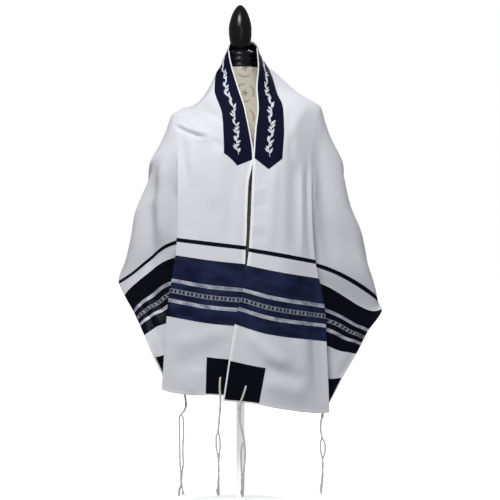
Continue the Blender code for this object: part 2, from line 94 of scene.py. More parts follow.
# %% [markdown]
# ## How it hangs: five guide lines
# Draped cloth is ruled by a few lines that can be seen in the photograph or felt on the form: its
# two long edges, the neck band's outer edge, the fold at each front's side and the turn of the side
# wings. Each is a short table of sections. A rib runs between the guides at every place along the
# cloth. A cloth simulation was the other way, but this drape is pinned and pleated by hand, and
# guides hold the photographed folds where a simulation lets them slide. Nearly all rows are those
# of the solids. A few leave them by up to 23 mm, where the photograph shows the cloth there.

# %% The guide lines, the pleat and the flared back folds
# The guides' x and z are as seen in the plane of the pole from the front, level, from this place:
# what is nearer looks larger there by the distance's share, which is taken out again.
SEEN_X, SEEN_Z, SEEN_FROM = 24.7, 665.6, 4800.0

# Guide lines. Each row is one section of the cloth, from the left hem to the right hem.
TOP_EDGE = """
along   x    y    z
    0   1 -122  283
  184   7 -124  467
  394  14 -126  676
  618  32 -122  905
  739  14 -100 1027
  800  -3  -78 1082
  860 -20  -60 1136
  906 -33  -45 1178
  945 -45   -5 1184
  980 -34   33 1203
 1015   0   50 1211
 1050  33   34 1206
 1085  45    3 1194
 1115  43  -25 1188
 1162  46  -48 1146
 1225  41  -75 1089
 1284  44 -100 1035
 1338  38 -115  983
 1412  33 -124  910
 1636  22 -130  671
 1751   5 -133  562
 1846 -15 -134  473
 2030 -46 -134  273
"""
NECK_BAND_EDGE = """
along   x    y    z
    0 -76 -120  291
  394 -63 -124  685
  618 -43 -118  922
  700 -45 -108  985
  745 -48  -97 1020
  800 -67  -68 1080
  860 -64  -22 1117
  906 -55   15 1134
  955 -42   52 1136
 1015   0   80 1139
 1075  42   56 1139
 1115  61   20 1148
 1162  80   -5 1117
 1225  94  -43 1073
 1284 110  -86 1034
 1340 113 -108  978
 1412 109 -119  909
 1636 100 -124  658
 2030  33 -134  268
"""
FRONT_FOLD = """
along across    x    y    z
    0    213 -204 -104  305
  184    199 -191 -106  494
  394    186 -165 -108  697
  520    190 -163 -104  820
  640    196 -163  -80  925
  785    202 -181  -15 1011
  870    205 -150   62 1020
  935    208  -86  103 1010
 1015    210    0  118 1003
 1090    208   88  102 1012
 1160    203  160   60 1032
 1245    190  209  -15 1035
 1390    190  183  -70  890
 1510    190  186  -80  758
 1636    193  194  -70  640
 1751    231  217  -62  520
 1846    256  223  -60  428
 2030    286  231  -58  251
"""
SIDE_TURN = """
along across    x   y   z
    0    483 -160 -80 312
  184    471 -216 -59 475
  394    460 -292  22 607
  520    409 -277  20 745
  640    315 -222 -20 885
  715    321 -224  16 893
  785    325 -206  58 893
  860    335 -158  98 886
  930    345  -88 128 880
 1015    350    0 137 872
 1090    345   90 128 882
 1160    335  166  98 900
 1245    322  221  45 920
 1390    310  267   0 861
 1510    384  305  32 718
 1636    460  354  55 556
 1846    475  274 -20 413
 2030    489  208 -42 258
"""
LOWER_EDGE = """
along    x   y   z
    0 -188 -80 312
   95 -226 -76 386
  184 -250 -52 444
  279 -277 -12 504
  347 -301  25 548
  394 -316  50 585
  470 -300  84 630
  560 -245  92 664
  680 -185 110 712
  800 -120 126 728
  910  -60 136 728
 1015    0 138 722
 1120   62 136 728
 1230  130 134 727
 1350  205 128 708
 1470  275 120 655
 1560  328 112 590
 1636  356  92 530
 1683  368  58 511
 1751  336  24 459
 1846  305  -8 397
 1935  268 -25 335
 2030  227 -36 261
"""
# How far the hidden layer behind the front fold goes in.
PLEAT = """
along depth
    0   155
   95   137
  184   110
  279    77
  394    42
  520    20
  640     8
  785     4
 1245     4
 1390     8
 1510    16
 1636    32
 1683    42
 1751    61
 1846    74
 1935    89
 2030   104
"""
# The flared folds that fall from the shoulders at the back: where each crest or hollow meets the
# lower edge, how much cloth it takes up, and how far it stands out there.
FLARES = """
along takes out
  560   110  -8
  660   140  30
  770   150 -34
  880   150  36
  990   150 -32
 1100   160  38
 1215   150 -34
 1330   140  34
 1440   130 -12
 1520   110  12
"""
FLARES_START = 150.0

# How far the shoulder sinks between the neck band's edge and the fold. A power below 1 puts the
# deepest place nearer the neck.
SHOULDER = """
along sink
  620    0
  740   12
  800   30
  860   34
  935   26
 1015    6
 1090  -10
 1160  -14
 1225  -10
 1300    0
"""
SHOULDER_POWER = 0.8

# The Z pleat's turns, front fold first, and the straight run kept on each side of a turn. The turns
# are full from a pleat of FULL_PLEAT on and never less than LEAST_PLEAT of that.
FRONT_TURN, BACK_TURN, TURN_RUN = 5.0, 10.0, 4.0
FULL_PLEAT, LEAST_PLEAT, NO_PLEAT = 40.0, 0.6, 5.0

# Where the hidden layer runs from the front fold (x, y, z), and its knots as shares of its depth.
LEFT_HIDDEN, RIGHT_HIDDEN = (1.0, 0.05, -0.08), (-1.0, -0.25, 0.05)
HIDDEN_KNOTS = (0.25, 0.75)

# How the side wings sway between the pleat and the lower edge: an arch and a wave upwards, and a
# hollow to the back. All three are whole from a wing of WING_FULL on and end at WING_ENDS.
LEFT_SWAY, RIGHT_SWAY = (10.0, 13.0, 12.0), (-8.0, 9.0, 8.0)
WING_ENDS, WING_FULL = 640.0, 200.0

# %% [markdown]
# ## The drape as a function
# The solids and the looks use one formula: a curve that never overshoots goes along each guide, and
# a second one goes across the rib through the guides and the knots of a Z pleat. The wings sway a
# little between their ends, and the loose lower edge at the back flares. Everything is worked out
# on whole arrays, so a fine grid costs little.

# %% The cloth's middle surface
def table(text):
    """The columns of a table, by name."""
    head, *rows = [line.split() for line in text.strip().splitlines()]
    columns = np.array(rows, float).T
    return dict(zip(head, columns))


def curve_through(at, values, where):
    """A curve, cubic between knots, through values (..., knots, n) at the rising places at
    (..., knots), read at where (..., places). Its slope at a knot is the weighted harmonic mean of
    the two slopes beside it, and level where they have opposite signs, so it never overshoots."""
    step = np.diff(at)[..., None]
    slope = np.diff(values, axis=-2) / step
    before, after = slope[..., :-1, :], slope[..., 1:, :]
    w1, w2 = 2 * step[..., 1:, :] + step[..., :-1, :], step[..., 1:, :] + 2 * step[..., :-1, :]
    same = before * after > 0
    b, a = np.where(same, before, 1), np.where(same, after, 1)
    middle = np.where(same, (w1 + w2) / (w1 / b + w2 / a), 0)
    tangent = np.concatenate([slope[..., :1, :], middle, slope[..., -1:, :]], axis=-2)
    low = (where[..., :, None] >= at[..., None, 1:-1]).sum(-1)
    span = [np.take_along_axis(at, low + k, -1)[..., None] for k in (0, 1)]
    value = [np.take_along_axis(values, (low + k)[..., None], -2) for k in (0, 1)]
    lean = [np.take_along_axis(tangent, (low + k)[..., None], -2) for k in (0, 1)]
    long = span[1] - span[0]
    t = (where[..., None] - span[0]) / long
    return (
        (1 + 2 * t) * (1 - t) ** 2 * value[0]
        + t * (1 - t) ** 2 * long * lean[0]
        + t * t * (3 - 2 * t) * value[1]
        + t * t * (t - 1) * long * lean[1]
    )


def guide(text, where, *columns, held=False):
    """The named columns of a table, read by its first column at each place, on a smooth curve.
    With held, a place beyond the table's ends reads the values of the end."""
    rows = table(text)
    at = next(iter(rows.values()))
    if held:
        where = np.clip(where, at[0], at[-1])
    return curve_through(at, np.stack([rows[name] for name in columns], axis=-1), where)


def guide_line(text, along):
    """A guide's points. A point at depth y was seen in the pole's plane enlarged by
    far / (far + y) about the view's centre, so its x and z are drawn in by the same share."""
    rows = table(text)
    share = (SEEN_FROM + rows["y"]) / SEEN_FROM
    x = SEEN_X + (rows["x"] - SEEN_X) * share
    z = SEEN_Z + (rows["z"] - SEEN_Z) * share
    return curve_through(rows["along"], np.stack([x, rows["y"], z], axis=-1), along)


def smooth_step(t):
    """3 t^2 - 2 t^3 between 0 and 1, level beyond."""
    t = np.clip(t, 0, 1)
    return t * t * (3 - 2 * t)


def unit(vectors):
    """Vectors over their own lengths."""
    return vectors / np.linalg.norm(vectors, axis=-1, keepdims=True)


def circle(count):
    """Angles in even steps round a turn."""
    return np.linspace(0, 2 * math.pi, count, endpoint=False)


def unpleated(along):
    """From 0 where the pleat is folded to 1 where the cloth lies open over the back: one less a
    smooth step of the pleat's depth."""
    pleat = guide(PLEAT, along, "depth")[:, 0]
    return 1 - smooth_step((pleat - NO_PLEAT) / (FULL_PLEAT / 2 - NO_PLEAT))


# The numbers of a rib's knots at the front fold, the wing's start and the lower edge.
FOLD_KNOT, WING_KNOT, LAST_KNOT = 3, 9, 11


def rib_knots(along):
    """Where each rib's knots are across the cloth (ribs, knots), and in space (ribs, knots, 3).
    Behind the front fold the cloth turns, runs inward by the pleat's depth, turns back behind
    itself and heads for the side turn. Over the back, where no pleat is, every knot slides onto
    the smooth curve through the five guides alone."""
    lines = (TOP_EDGE, NECK_BAND_EDGE, FRONT_FOLD, SIDE_TURN, LOWER_EDGE)
    top, band, fold, side, low = (guide_line(line, along) for line in lines)
    fold_at, side_at = (guide(line, along, "across")[:, 0] for line in (FRONT_FOLD, SIDE_TURN))
    pleat = guide(PLEAT, along, "depth")[:, 0]
    full = np.clip(pleat / FULL_PLEAT, LEAST_PLEAT, 1)
    first, second = FRONT_TURN * full, BACK_TURN * full
    hidden = unit(np.where((along < MIDDLE)[:, None], LEFT_HIDDEN, RIGHT_HIDDEN))
    behind = np.array([0.0, 1.0, 0.0])
    lead = fold + (band - fold) * (TURN_RUN / (fold_at - ATARAH_TO))[:, None]
    turned = fold + behind * first[:, None]
    near, far = (turned + hidden * (pleat * part)[:, None] for part in HIDDEN_KNOTS)
    inner = turned + hidden * pleat[:, None]
    start = inner + behind * second[:, None]
    run = start + unit(side - start) * TURN_RUN
    near_at, far_at, inner_at = (fold_at + first + pleat * part for part in (*HIDDEN_KNOTS, 1))
    start_at = inner_at + second
    top_at, band_at, low_at = (np.full_like(along, at) for at in (0, ATARAH_TO, CLOTH_WIDE))
    across = [top_at, band_at, fold_at - TURN_RUN, fold_at, fold_at + first, near_at, far_at]
    across += [inner_at, start_at, start_at + TURN_RUN, side_at, low_at]
    points = [top, band, lead, fold, turned, near, far, inner, start, run, side, low]
    across, points = np.stack(across, axis=-1), np.stack(points, axis=1)
    guides = [0, 1, FOLD_KNOT, LAST_KNOT - 1, LAST_KNOT]
    level = curve_through(across[:, guides], points[:, guides], across)
    return across, points + (level - points) * unpleated(along)[:, None, None]


def flare(along, across):
    """How far the flared folds stand out: at the lower edge a sum of cosine bumps, one a row of
    the table, growing as 10 t^3 - 15 t^4 + 6 t^5 from nothing where the folds start."""
    rows = table(FLARES)
    away = np.abs(along[..., None] - rows["along"]) / rows["takes"]
    bumps = (rows["out"] * np.cos(np.pi * np.clip(away, 0, 0.5)) ** 2).sum(-1)
    t = np.clip((across - FLARES_START) / (CLOTH_WIDE - FLARES_START), 0, 1)
    return bumps * t**3 * (10 - 15 * t + 6 * t**2)


def shoulder_sink(along, across, fold_at):
    """How far the shoulder sinks: a squared half sine between the neck band's edge and the fold."""
    sink = guide(SHOULDER, along, "sink", held=True)
    t = np.clip((across - ATARAH_TO) / (fold_at - ATARAH_TO)[:, None], 0, 1)
    return sink * np.sin(np.pi * t**SHOULDER_POWER) ** 2


def wing_sway(along, across, start):
    """How a wing leaves its straight line, back and up: a hollow (a squared half sine) and an arch
    (half a sine) with a wave (a whole sine) from the pleat's end to the lower edge, fading out up
    the cloth."""
    arch, wave, hollow = np.where((along < MIDDLE)[:, None], LEFT_SWAY, RIGHT_SWAY).T[..., None]
    from_hem = np.minimum(along, CLOTH_LONG - along)
    t = np.clip((across - start[:, None]) / (CLOTH_WIDE - start)[:, None], 0, 1)
    fade = (1 - smooth_step((from_hem - STRIPE_TO) / (WING_ENDS - STRIPE_TO)))[:, None]
    wide = smooth_step((CLOTH_WIDE - start) / WING_FULL)[:, None] * fade
    back = hollow * np.sin(np.pi * t) ** 2 * wide
    up = (arch * np.sin(np.pi * t) + wave * np.sin(2 * np.pi * t)) * wide
    return np.stack([np.zeros_like(up), back, up], axis=-1)


def drape(along, across):
    """Points of the cloth's middle surface in millimetres, for ribs at `along` (ribs,) read at
    `across` (ribs, places): the smooth curve through each rib's knots, plus the wings' sway, less
    the shoulder's sink, and out from the pole's axis by the flare."""
    at, knots = rib_knots(along)
    points = curve_through(at, knots, across) + wing_sway(along, across, at[:, WING_KNOT])
    points[..., 2] -= shoulder_sink(along, across, at[:, FOLD_KNOT])
    outward = unit(points * np.array([1.0, 1.0, 0.0]))
    spread = np.broadcast_to(along[:, None], across.shape)
    return points + outward * flare(spread, across)[..., None]


ribs = np.linspace(0, CLOTH_LONG, 9)
middle = drape(ribs, np.broadcast_to(np.linspace(0, CLOTH_WIDE, 5), (9, 5)))
print("heights along the top edge:", middle[:, 0, 2].round().astype(int))

# %% [markdown]
# ## Soft folds and creases
# The white cloth is a light plain weave, so gravity and the pins leave long soft hollows between
# sharp folds. Each one is placed where the photograph shows it, as a line on the cut with a
# width, a bow and a height. The back, which the photograph doesn't show, gets similar ones.

# %% The creases: a row for each, from one place on the cut to another
CREASES = """
  a0  v0   a1  v1 wide bow   out
 731 196  672 118    7   4  -5.8
 738 182  684 112   10   6   4.4
 672 118  604  66    9  -3  -2.7
 790 118  700  62    9   5  -3.1
 760 150  640  96   16   8   3.7
 640  98  470  92   22   5   4.4
 600  52  380  48   17  -3  -3.7
 560 138  385 140   18   4  -3.4
 700 170  560 160   16   3   3.4
 350 120  150  90   30  10   2.7
 170  30  105 185   20   8   4.1
 700 178  400 166   12   0    -5
 120  60   60 185   18  -6  -3.7
  70 120    0 135   22   0   3.1
 640 238  380 345   17   6   8.5
 610 285  330 402   19   8 -11.9
 600 350  420 440   20  -6     2
 300 420  130 440   22   4  -8.5
 230 380   60 470   18   3   5.1
 540 240  400 290   10   0    -8
 360 305  190 432   12   0    -8
 300 470   60 492   12   0    -8
1700 500 1980 508   22   0    -9
1500 215 1640 278   10   0    -8
1660 288 1900 452   14   0    -8
1300  90 1420 110   14  -6  -2.7
1270 150 1370  96   16   6   3.1
1420  60 1640  55   16   4   4.8
1385 128 1650 126   26   3    -6
1405 152 1640 150    9   0     4
1380 177 1650 180    9   0  -4.4
1500   0 1484  44    5   3   2.2
1540   0 1523  50    5  -2    -2
1580   0 1570  46    5   3     2
1612   0 1600  52    5   0  -1.7
1850  25 1920 160   19  10   5.4
1925  80 1950 215   17   6  -5.8
1975  90 1990 215   18  -4   4.4
1700 205 2000 266   20   0   -10
1700 165 2000 214   22   0     6
1860 170 1780  90   24   6  -3.1
1700  60 1800 110   26   5   2.7
1330 205 1650 320   20   8  -8.5
1420 262 1640 400   26  -8     6
1480 380 1640 455   18   5    -2
1740 400 1940 440   22  -6   6.8
1800 330 1960 400   20   4    -6
 800  84  770 196   14   6   3.1
 850  86  830 215   16  -8  -3.4
 905  90  900 260   18   6   3.4
 960  90  950 330   20  -5  -3.1
1015 100 1015 400   26   9   3.6
1070  90 1085 330   20   6  -3.4
1125  88 1140 260   18  -6   3.4
1180  86 1205 220   16   6  -3.1
1235  84 1262 190   14  -5   2.9
 880 190  760 330   18  12   4.4
1150 190 1270 330   18 -12   4.2
"""
CREASE_FADES, CREASE_STARTS = 0.3, 0.15


def creases(along, across):
    """The height of all creases at each place. A crease is a Gaussian across its line, bowed like
    a parabola, that fades in over the first CREASE_FADES of its length and out over the last."""
    rows = table(CREASES)
    height = np.zeros(along.shape)
    for a0, v0, a1, v1, wide, bow, out in zip(*(rows[name] for name in rows)):
        long = math.hypot(a1 - a0, v1 - v0)
        t = ((along - a0) * (a1 - a0) + (across - v0) * (v1 - v0)) / long**2
        off = ((along - a0) * (v1 - v0) - (across - v0) * (a1 - a0)) / long
        off = off - bow * 4 * t * (1 - t)
        fade = [smooth_step(end / CREASE_FADES + CREASE_STARTS) for end in (t, 1 - t)]
        height += out * np.exp(-((off / wide) ** 2)) * fade[0] * fade[1]
    return height


# How far the left front's edge stands from its guide: to the viewer's right, and up.
EDGE_SHIFT = """
along  x  z
  430  0  0
  493 -5  0
  554 -8  0
  594 -2  0
  618  2  0
  700  0  0
  880  0  0
  915  5  4
  945 16 15
  980 10  3
 1015  0  0
"""
EDGE_FADE = 60.0

# How far the short hems hang below their guides.
HEM_SAG = """
across left right
     0    0     0
    80    3     2
   140  8.5     9
   190    7    12
   213    2    13
   250    0    13
   286    0     8
   330    0     0
"""
SAG_FADE = 110.0

# The room for creases: how softly they stop at the pleat, how far before its fold, and how deep a
# hollow may be over the hidden layer.
ROOM_FADE, FOLD_ROOM, HOLLOW_ROOM = 13.0, 2.0, 2.4


def hung(along, across):
    """The drape with its loose edges as they hang: the front edge's shift fades out across the
    cloth and the hem's sag fades out up the cloth, both as a smooth step."""
    points = drape(along, across)
    shift = guide(EDGE_SHIFT, along, "x", "z", held=True)[:, None]
    points[..., [0, 2]] += shift * (1 - smooth_step(across / EDGE_FADE))[..., None]
    sag = guide(HEM_SAG, across.ravel(), "left", "right", held=True).reshape(*across.shape, 2)
    sag = np.where(along[:, None] < MIDDLE, sag[..., 0], sag[..., 1])
    from_hem = np.minimum(along, CLOTH_LONG - along)[:, None]
    points[..., 2] -= sag * (1 - smooth_step(from_hem / SAG_FADE))
    return points


def with_room(along, across, height):
    """The creases' height where there is room: none on the pleat's turns and its hidden layer, and
    no hollow deeper than HOLLOW_ROOM where that layer lies behind the front."""
    fold_at = guide(FRONT_FOLD, along, "across")[:, 0]
    pleat = guide(PLEAT, along, "depth")[:, 0]
    start_at = fold_at + FRONT_TURN + pleat + BACK_TURN
    before = smooth_step((fold_at - FOLD_ROOM - across) / ROOM_FADE)
    clear = before + smooth_step((across - start_at) / ROOM_FADE)
    loose = unpleated(along)
    backed = smooth_step((across - fold_at + pleat) / ROOM_FADE + 1) * (across < fold_at)
    height = height + (np.maximum(height, -HOLLOW_ROOM) - height) * backed * (1 - loose)
    return height * (clear + (1 - clear) * loose)


def cloth(along, across):
    """Points and outward unit normals at any places. The normal is the cross product of two short
    central differences of the hung cloth, and the creases move the point along it."""
    flat_along, flat_across, near = along.ravel(), across.ravel()[:, None], 0.4
    step_along = hung(flat_along + near, flat_across) - hung(flat_along - near, flat_across)
    step_across = hung(flat_along, flat_across + near) - hung(flat_along, flat_across - near)
    normals = unit(np.cross(step_along, step_across)).reshape(*along.shape, 3)
    points = hung(flat_along, flat_across).reshape(*along.shape, 3)
    height = with_room(flat_along, across.ravel(), creases(along, across).ravel())
    return points + normals * height.reshape(*along.shape, 1), normals


print("creases:", len(table(CREASES)["a0"]))

# %% [markdown]
# ## From surfaces to meshes
# Every piece is a grid of points, a function of two parameters. One helper turns a grid into
# quads, another gives a sheet its thickness. Each cloth's mesh carries a UV map in metres on the
# cut, so weaves and stitches stay with the cloth when it folds.

# %% Mesh helpers
# How softly a turned edge swells at its inner side and at the very edge.
SWELL_FADE, EDGE_ROUND = 1.5, 0.8

# A rib's places: first near the hem, then in even steps from one of its knots to another.
HEM_PLACES, HEM_STEPS = (1.5, 3.5, 6, 8, 10, 13, 17), 14
KNOT_STEPS = ((1, 2, 30), (2, 3, 3), (3, 4, 6), (4, 7, 10), (7, 8, 8), (8, 9, 3), (9, 10, 34),
              (10, 11, 22))


def grid_quads(rows, columns, closed=False):
    """Vertex numbers of the quads of a rows x columns grid; closed joins the last column to the
    first."""
    index = np.arange(rows * columns).reshape(rows, columns)
    if closed:
        index = np.concatenate([index, index[:, :1]], axis=1)
    corners = [index[:-1, :-1], index[1:, :-1], index[1:, 1:], index[:-1, 1:]]
    return np.stack(corners, axis=-1).reshape(-1, 4)


def add_piece(name, points, faces, uv=None, sharp=None):
    """A smooth mesh object at the origin from points in millimetres and quads; uv is in
    millimetres too, one pair a vertex."""
    mesh = bpy.data.meshes.new(name)
    points = np.asarray(points, float).reshape(-1, 3)
    mesh.vertices.add(len(points))
    mesh.vertices.foreach_set("co", (points * MM).ravel())
    mesh.loops.add(faces.size)
    mesh.loops.foreach_set("vertex_index", faces.ravel())
    mesh.polygons.add(len(faces))
    mesh.polygons.foreach_set("loop_start", np.arange(0, faces.size, faces.shape[1]))
    if uv is not None:
        layer = mesh.uv_layers.new(name="cut")
        corners = np.asarray(uv).reshape(-1, 2)[faces.ravel()]
        layer.uv.foreach_set("vector", (corners * MM).ravel())
    mesh.update(calc_edges=True)
    mesh.validate()
    mesh.shade_smooth()
    if sharp:
        mesh.set_sharp_from_angle(angle=math.radians(sharp))
    piece = bpy.data.objects.new(name, mesh)
    bpy.context.scene.collection.objects.link(piece)
    return piece


def add_sheet(name, along, across, low, high, swell=0.0, swell_from=0.0):
    """A closed sheet between two heights over the cloth at a grid of places: an outer skin, an
    inner skin and a rim that joins them. Each skin is the cloth moved along its normals. swell is
    the extra height of the outer skin where the edge is turned under, a smooth step up to
    swell_from millimetres from the edge."""
    points, normals = cloth(along, across)
    rows, columns = along.shape
    lift = np.full(along.shape, float(high))
    if swell:
        ends = [
            np.minimum(at - at.min(axis, keepdims=True), at.max(axis, keepdims=True) - at)
            for axis, at in enumerate((along, across))
        ]
        edge = np.minimum(*ends)
        inside = smooth_step((swell_from - edge) / SWELL_FADE + 0.5)
        lift += swell * inside * smooth_step(edge / EDGE_ROUND)
    outer = points + normals * lift[..., None]
    inner = points + normals * low
    faces = grid_quads(rows, columns)
    count = rows * columns
    index = np.arange(count).reshape(rows, columns)
    rim = np.concatenate([index[:-1, 0], index[-1, :-1], index[:0:-1, -1], index[0, :0:-1]])
    beside = np.roll(rim, -1)
    wall = np.stack([beside, rim, rim + count, beside + count], axis=-1)
    faces = np.concatenate([faces, faces[:, ::-1] + count, wall])
    uv = np.stack([along, across], axis=-1).reshape(-1, 2)
    return add_piece(name, np.concatenate([outer.reshape(-1, 3), inner.reshape(-1, 3)]), faces,
                     np.concatenate([uv, uv]), sharp=65)


def steps(*stops):
    """Places from a list of stops and step sizes: 0, (30, 2) goes from 0 to 30 in steps of
    about 2."""
    places = [np.array([float(stops[0])])]
    start = stops[0]
    for stop, size in stops[1:]:
        count = max(1, round(fine * (stop - start) / size))
        places.append(np.linspace(start, stop, count + 1)[1:])
        start = stop
    return np.concatenate(places)


def ribs_at(along, first, last):
    """Places across the cloth on each rib, from first to last, close together at the hem and in
    the pleat's turns."""
    knots, _ = rib_knots(along)
    places = [first, *(place for place in HEM_PLACES if place > first)]
    places += [*np.linspace(HEM_PLACES[-1], ATARAH_TO, round(HEM_STEPS * fine) + 2)[1:]]
    parts = [np.broadcast_to(places, (len(along), len(places)))]
    for low, high, count in KNOT_STEPS:
        t = np.linspace(0, 1, max(2, round(count * fine)) + 1)[1:]
        stop = knots[:, high] if high < LAST_KNOT else np.full_like(along, last)
        parts.append(knots[:, low, None] + (stop - knots[:, low])[:, None] * t)
    return np.concatenate(parts, axis=1)


def triangles(*pieces):
    """How many triangles pieces have: two a quad."""
    return sum(len(piece.data.polygons) * 2 for piece in pieces)


print("mesh helpers ready, fineness", fine)

# %% [markdown]
# ## The shawl
# One thin shell for the whole cloth, in place of its solid. Its short ends have a narrow double
# hem, and its front edges an 8 mm one, so the outer skin rises a third of a millimetre there. The
# shell keeps the solid's thickness, which keeps it clear of the trims.

# %% The shawl's cloth
HALF, HEM_SWELL = WALL / 2, 0.35
rows = steps(0, (1.5, 1.5), (12, 3.5), (15, 1.5), (STRIPE_TO, 7.5), (ATARAH_TIP, 8), (MIDDLE, 7))
rows = np.concatenate([rows, CLOTH_LONG - rows[-2::-1]])
across = ribs_at(rows, 0.0, CLOTH_WIDE)
along = np.broadcast_to(rows[:, None], across.shape)
shawl = add_sheet("shawl", along, across, -HALF, HALF, HEM_SWELL, CENTRE_HEM)
print("shawl:", triangles(shawl), "triangles, ribs", across.shape)

# %% [markdown]
# ## Bands, ribbons and corner squares
# Each trim is a strip that a sewer lays on the cloth and stitches along both edges, so it is a thin
# shell over the same places. The two satin bands lie first, then three ribbons on each. A corner
# square is stronger cloth with its raw edges turned under, which makes its border swell.

# %% The trims
LAYER, TRIM_EDGE, TRIM_WALL, RIBBON_GAP, RIBBON_WALL = 0.15, 0.6, 0.5, 0.1, 0.35
BAND_LOW, BAND_HIGH = HALF + LAYER, HALF + LAYER + TRIM_WALL
RIBBON_LOW, RIBBON_HIGH = BAND_HIGH + RIBBON_GAP, BAND_HIGH + RIBBON_GAP + RIBBON_WALL
BAND_STEP, RIBBON_STEP, SQUARE_STEP = 5.5, 2.5, 3.2
BORDER, BORDER_SWELL = 5.0, 0.5

ON_CLOTH, ON_BAND = (BAND_STEP, BAND_LOW, BAND_HIGH), (RIBBON_STEP, RIBBON_LOW, RIBBON_HIGH)
STRIPS = {
    "narrow_stripe": (STRIPE_FROM, STRIPE_TO, *ON_CLOTH),
    "satin_band": (BAND_FROM, BAND_TO, *ON_CLOTH),
    **{f"silver_ribbon_{level}": (*place, *ON_BAND) for level, place in SILVER_RIBBONS.items()},
    "figured_ribbon": (*FIGURED_RIBBON, *ON_BAND),
}
SQUARES = {
    "front": (SQUARE_FROM, SQUARE_TO),
    "back": (CLOTH_WIDE - SQUARE_TO, CLOTH_WIDE - SQUARE_FROM),
}


def from_own_hem(side, start, stop, step):
    """Places along the cloth from start to stop, measured from that side's short hem."""
    places = steps(start, (stop, step))
    return places if side == "left" else CLOTH_LONG - places[::-1]


def add_strip(name, side, start, stop, step, low, high):
    """A strip right across the cloth: the cloth's own places between start and stop."""
    places = from_own_hem(side, start, stop, step)
    where = ribs_at(places, TRIM_EDGE, CLOTH_WIDE - TRIM_EDGE)
    along = np.broadcast_to(places[:, None], where.shape)
    return add_sheet(f"{name}_{side}", along, where, low, high)


def add_square(name, side, first, last):
    """A corner square with a swelling border, from first to last across the cloth."""
    places = from_own_hem(side, SQUARE_FROM, SQUARE_TO, SQUARE_STEP)
    along, where = np.meshgrid(places, steps(first, (last, SQUARE_STEP)), indexing="ij")
    return add_sheet(f"{name}_{side}", along, where, BAND_LOW, BAND_HIGH, BORDER_SWELL, BORDER)


trims = {}
for side in ("left", "right"):
    for name, (start, stop, step, low, high) in STRIPS.items():
        trims[f"{name}_{side}"] = add_strip(name, side, start, stop, step, low, high)
    for corner, (first, last) in SQUARES.items():
        name = f"corner_square_{corner}"
        trims[f"{name}_{side}"] = add_square(name, side, first, last)
print("trims:", len(trims), "pieces,", triangles(*trims.values()), "triangles")

# %% [markdown]
# ## The neck band
# The atarah is a stiff lined band, 76 mm wide, sewn over the middle of the long top edge, with a
# pointed end on each front. Its grid runs from point to point: each line along the band starts and
# stops where the pointed outline cuts it. Real ones carry embroidered words. This one gets a
# generic vine with leaves in the same silver thread, at about the same scale.

# %% The neck band and its embroidered vine
ATARAH_WALL, ATARAH_STEP, ATARAH_BORDER, ATARAH_ROWS = 1.0, 3, 3.0, round(190 * fine)
ATARAH_LOW, ATARAH_HIGH = BAND_LOW, BAND_LOW + ATARAH_WALL


def band_places(t, across):
    """Places along the cloth for shares t of the band's length; its end slants from each corner
    to the tip in the middle."""
    off = np.abs(across - ATARAH_MIDDLE) / (ATARAH_MIDDLE - ATARAH_FROM)
    start = ATARAH_TIP + (ATARAH_CORNER - ATARAH_TIP) * off
    return start + (CLOTH_LONG - 2 * start) * t


where = steps(ATARAH_FROM, (ATARAH_MIDDLE, ATARAH_STEP), (ATARAH_TO, ATARAH_STEP))
where, share = np.broadcast_arrays(where, np.linspace(0, 1, ATARAH_ROWS)[:, None])
places = band_places(share, where)
atarah = add_sheet("atarah", places, where, ATARAH_LOW, ATARAH_HIGH, BORDER_SWELL, ATARAH_BORDER)

VINE_FROM, VINE_TO, VINE_SWAY, VINE_WAVE = 622.0, CLOTH_LONG - 622.0, 3.0, 78.0
STEM_BEYOND, STEM_LIFT, STEM_HIGH, STEM_WIDE = 6, 0.25, 0.6, 0.75
STEM_STEPS, STEM_SIDES = round(620 * fine), 6
LEAF_EVERY, LEAF_APART, LEAF_LONG, LEAF_WIDE, LEAF_LEAN = 13.0, 4.5, 15.0, 6.4, 0.62
LEAF_VARIES, LEAF_ROUND, LEAF_ROWS, LEAF_COLUMNS = 0.25, 0.8, 9, 5
THREAD, THREAD_LIFT = 0.75, 0.12


def vine(along):
    """The stem's place across the band: a sine about the band's middle."""
    return ATARAH_MIDDLE + VINE_SWAY * np.sin(2 * math.pi * along / VINE_WAVE)


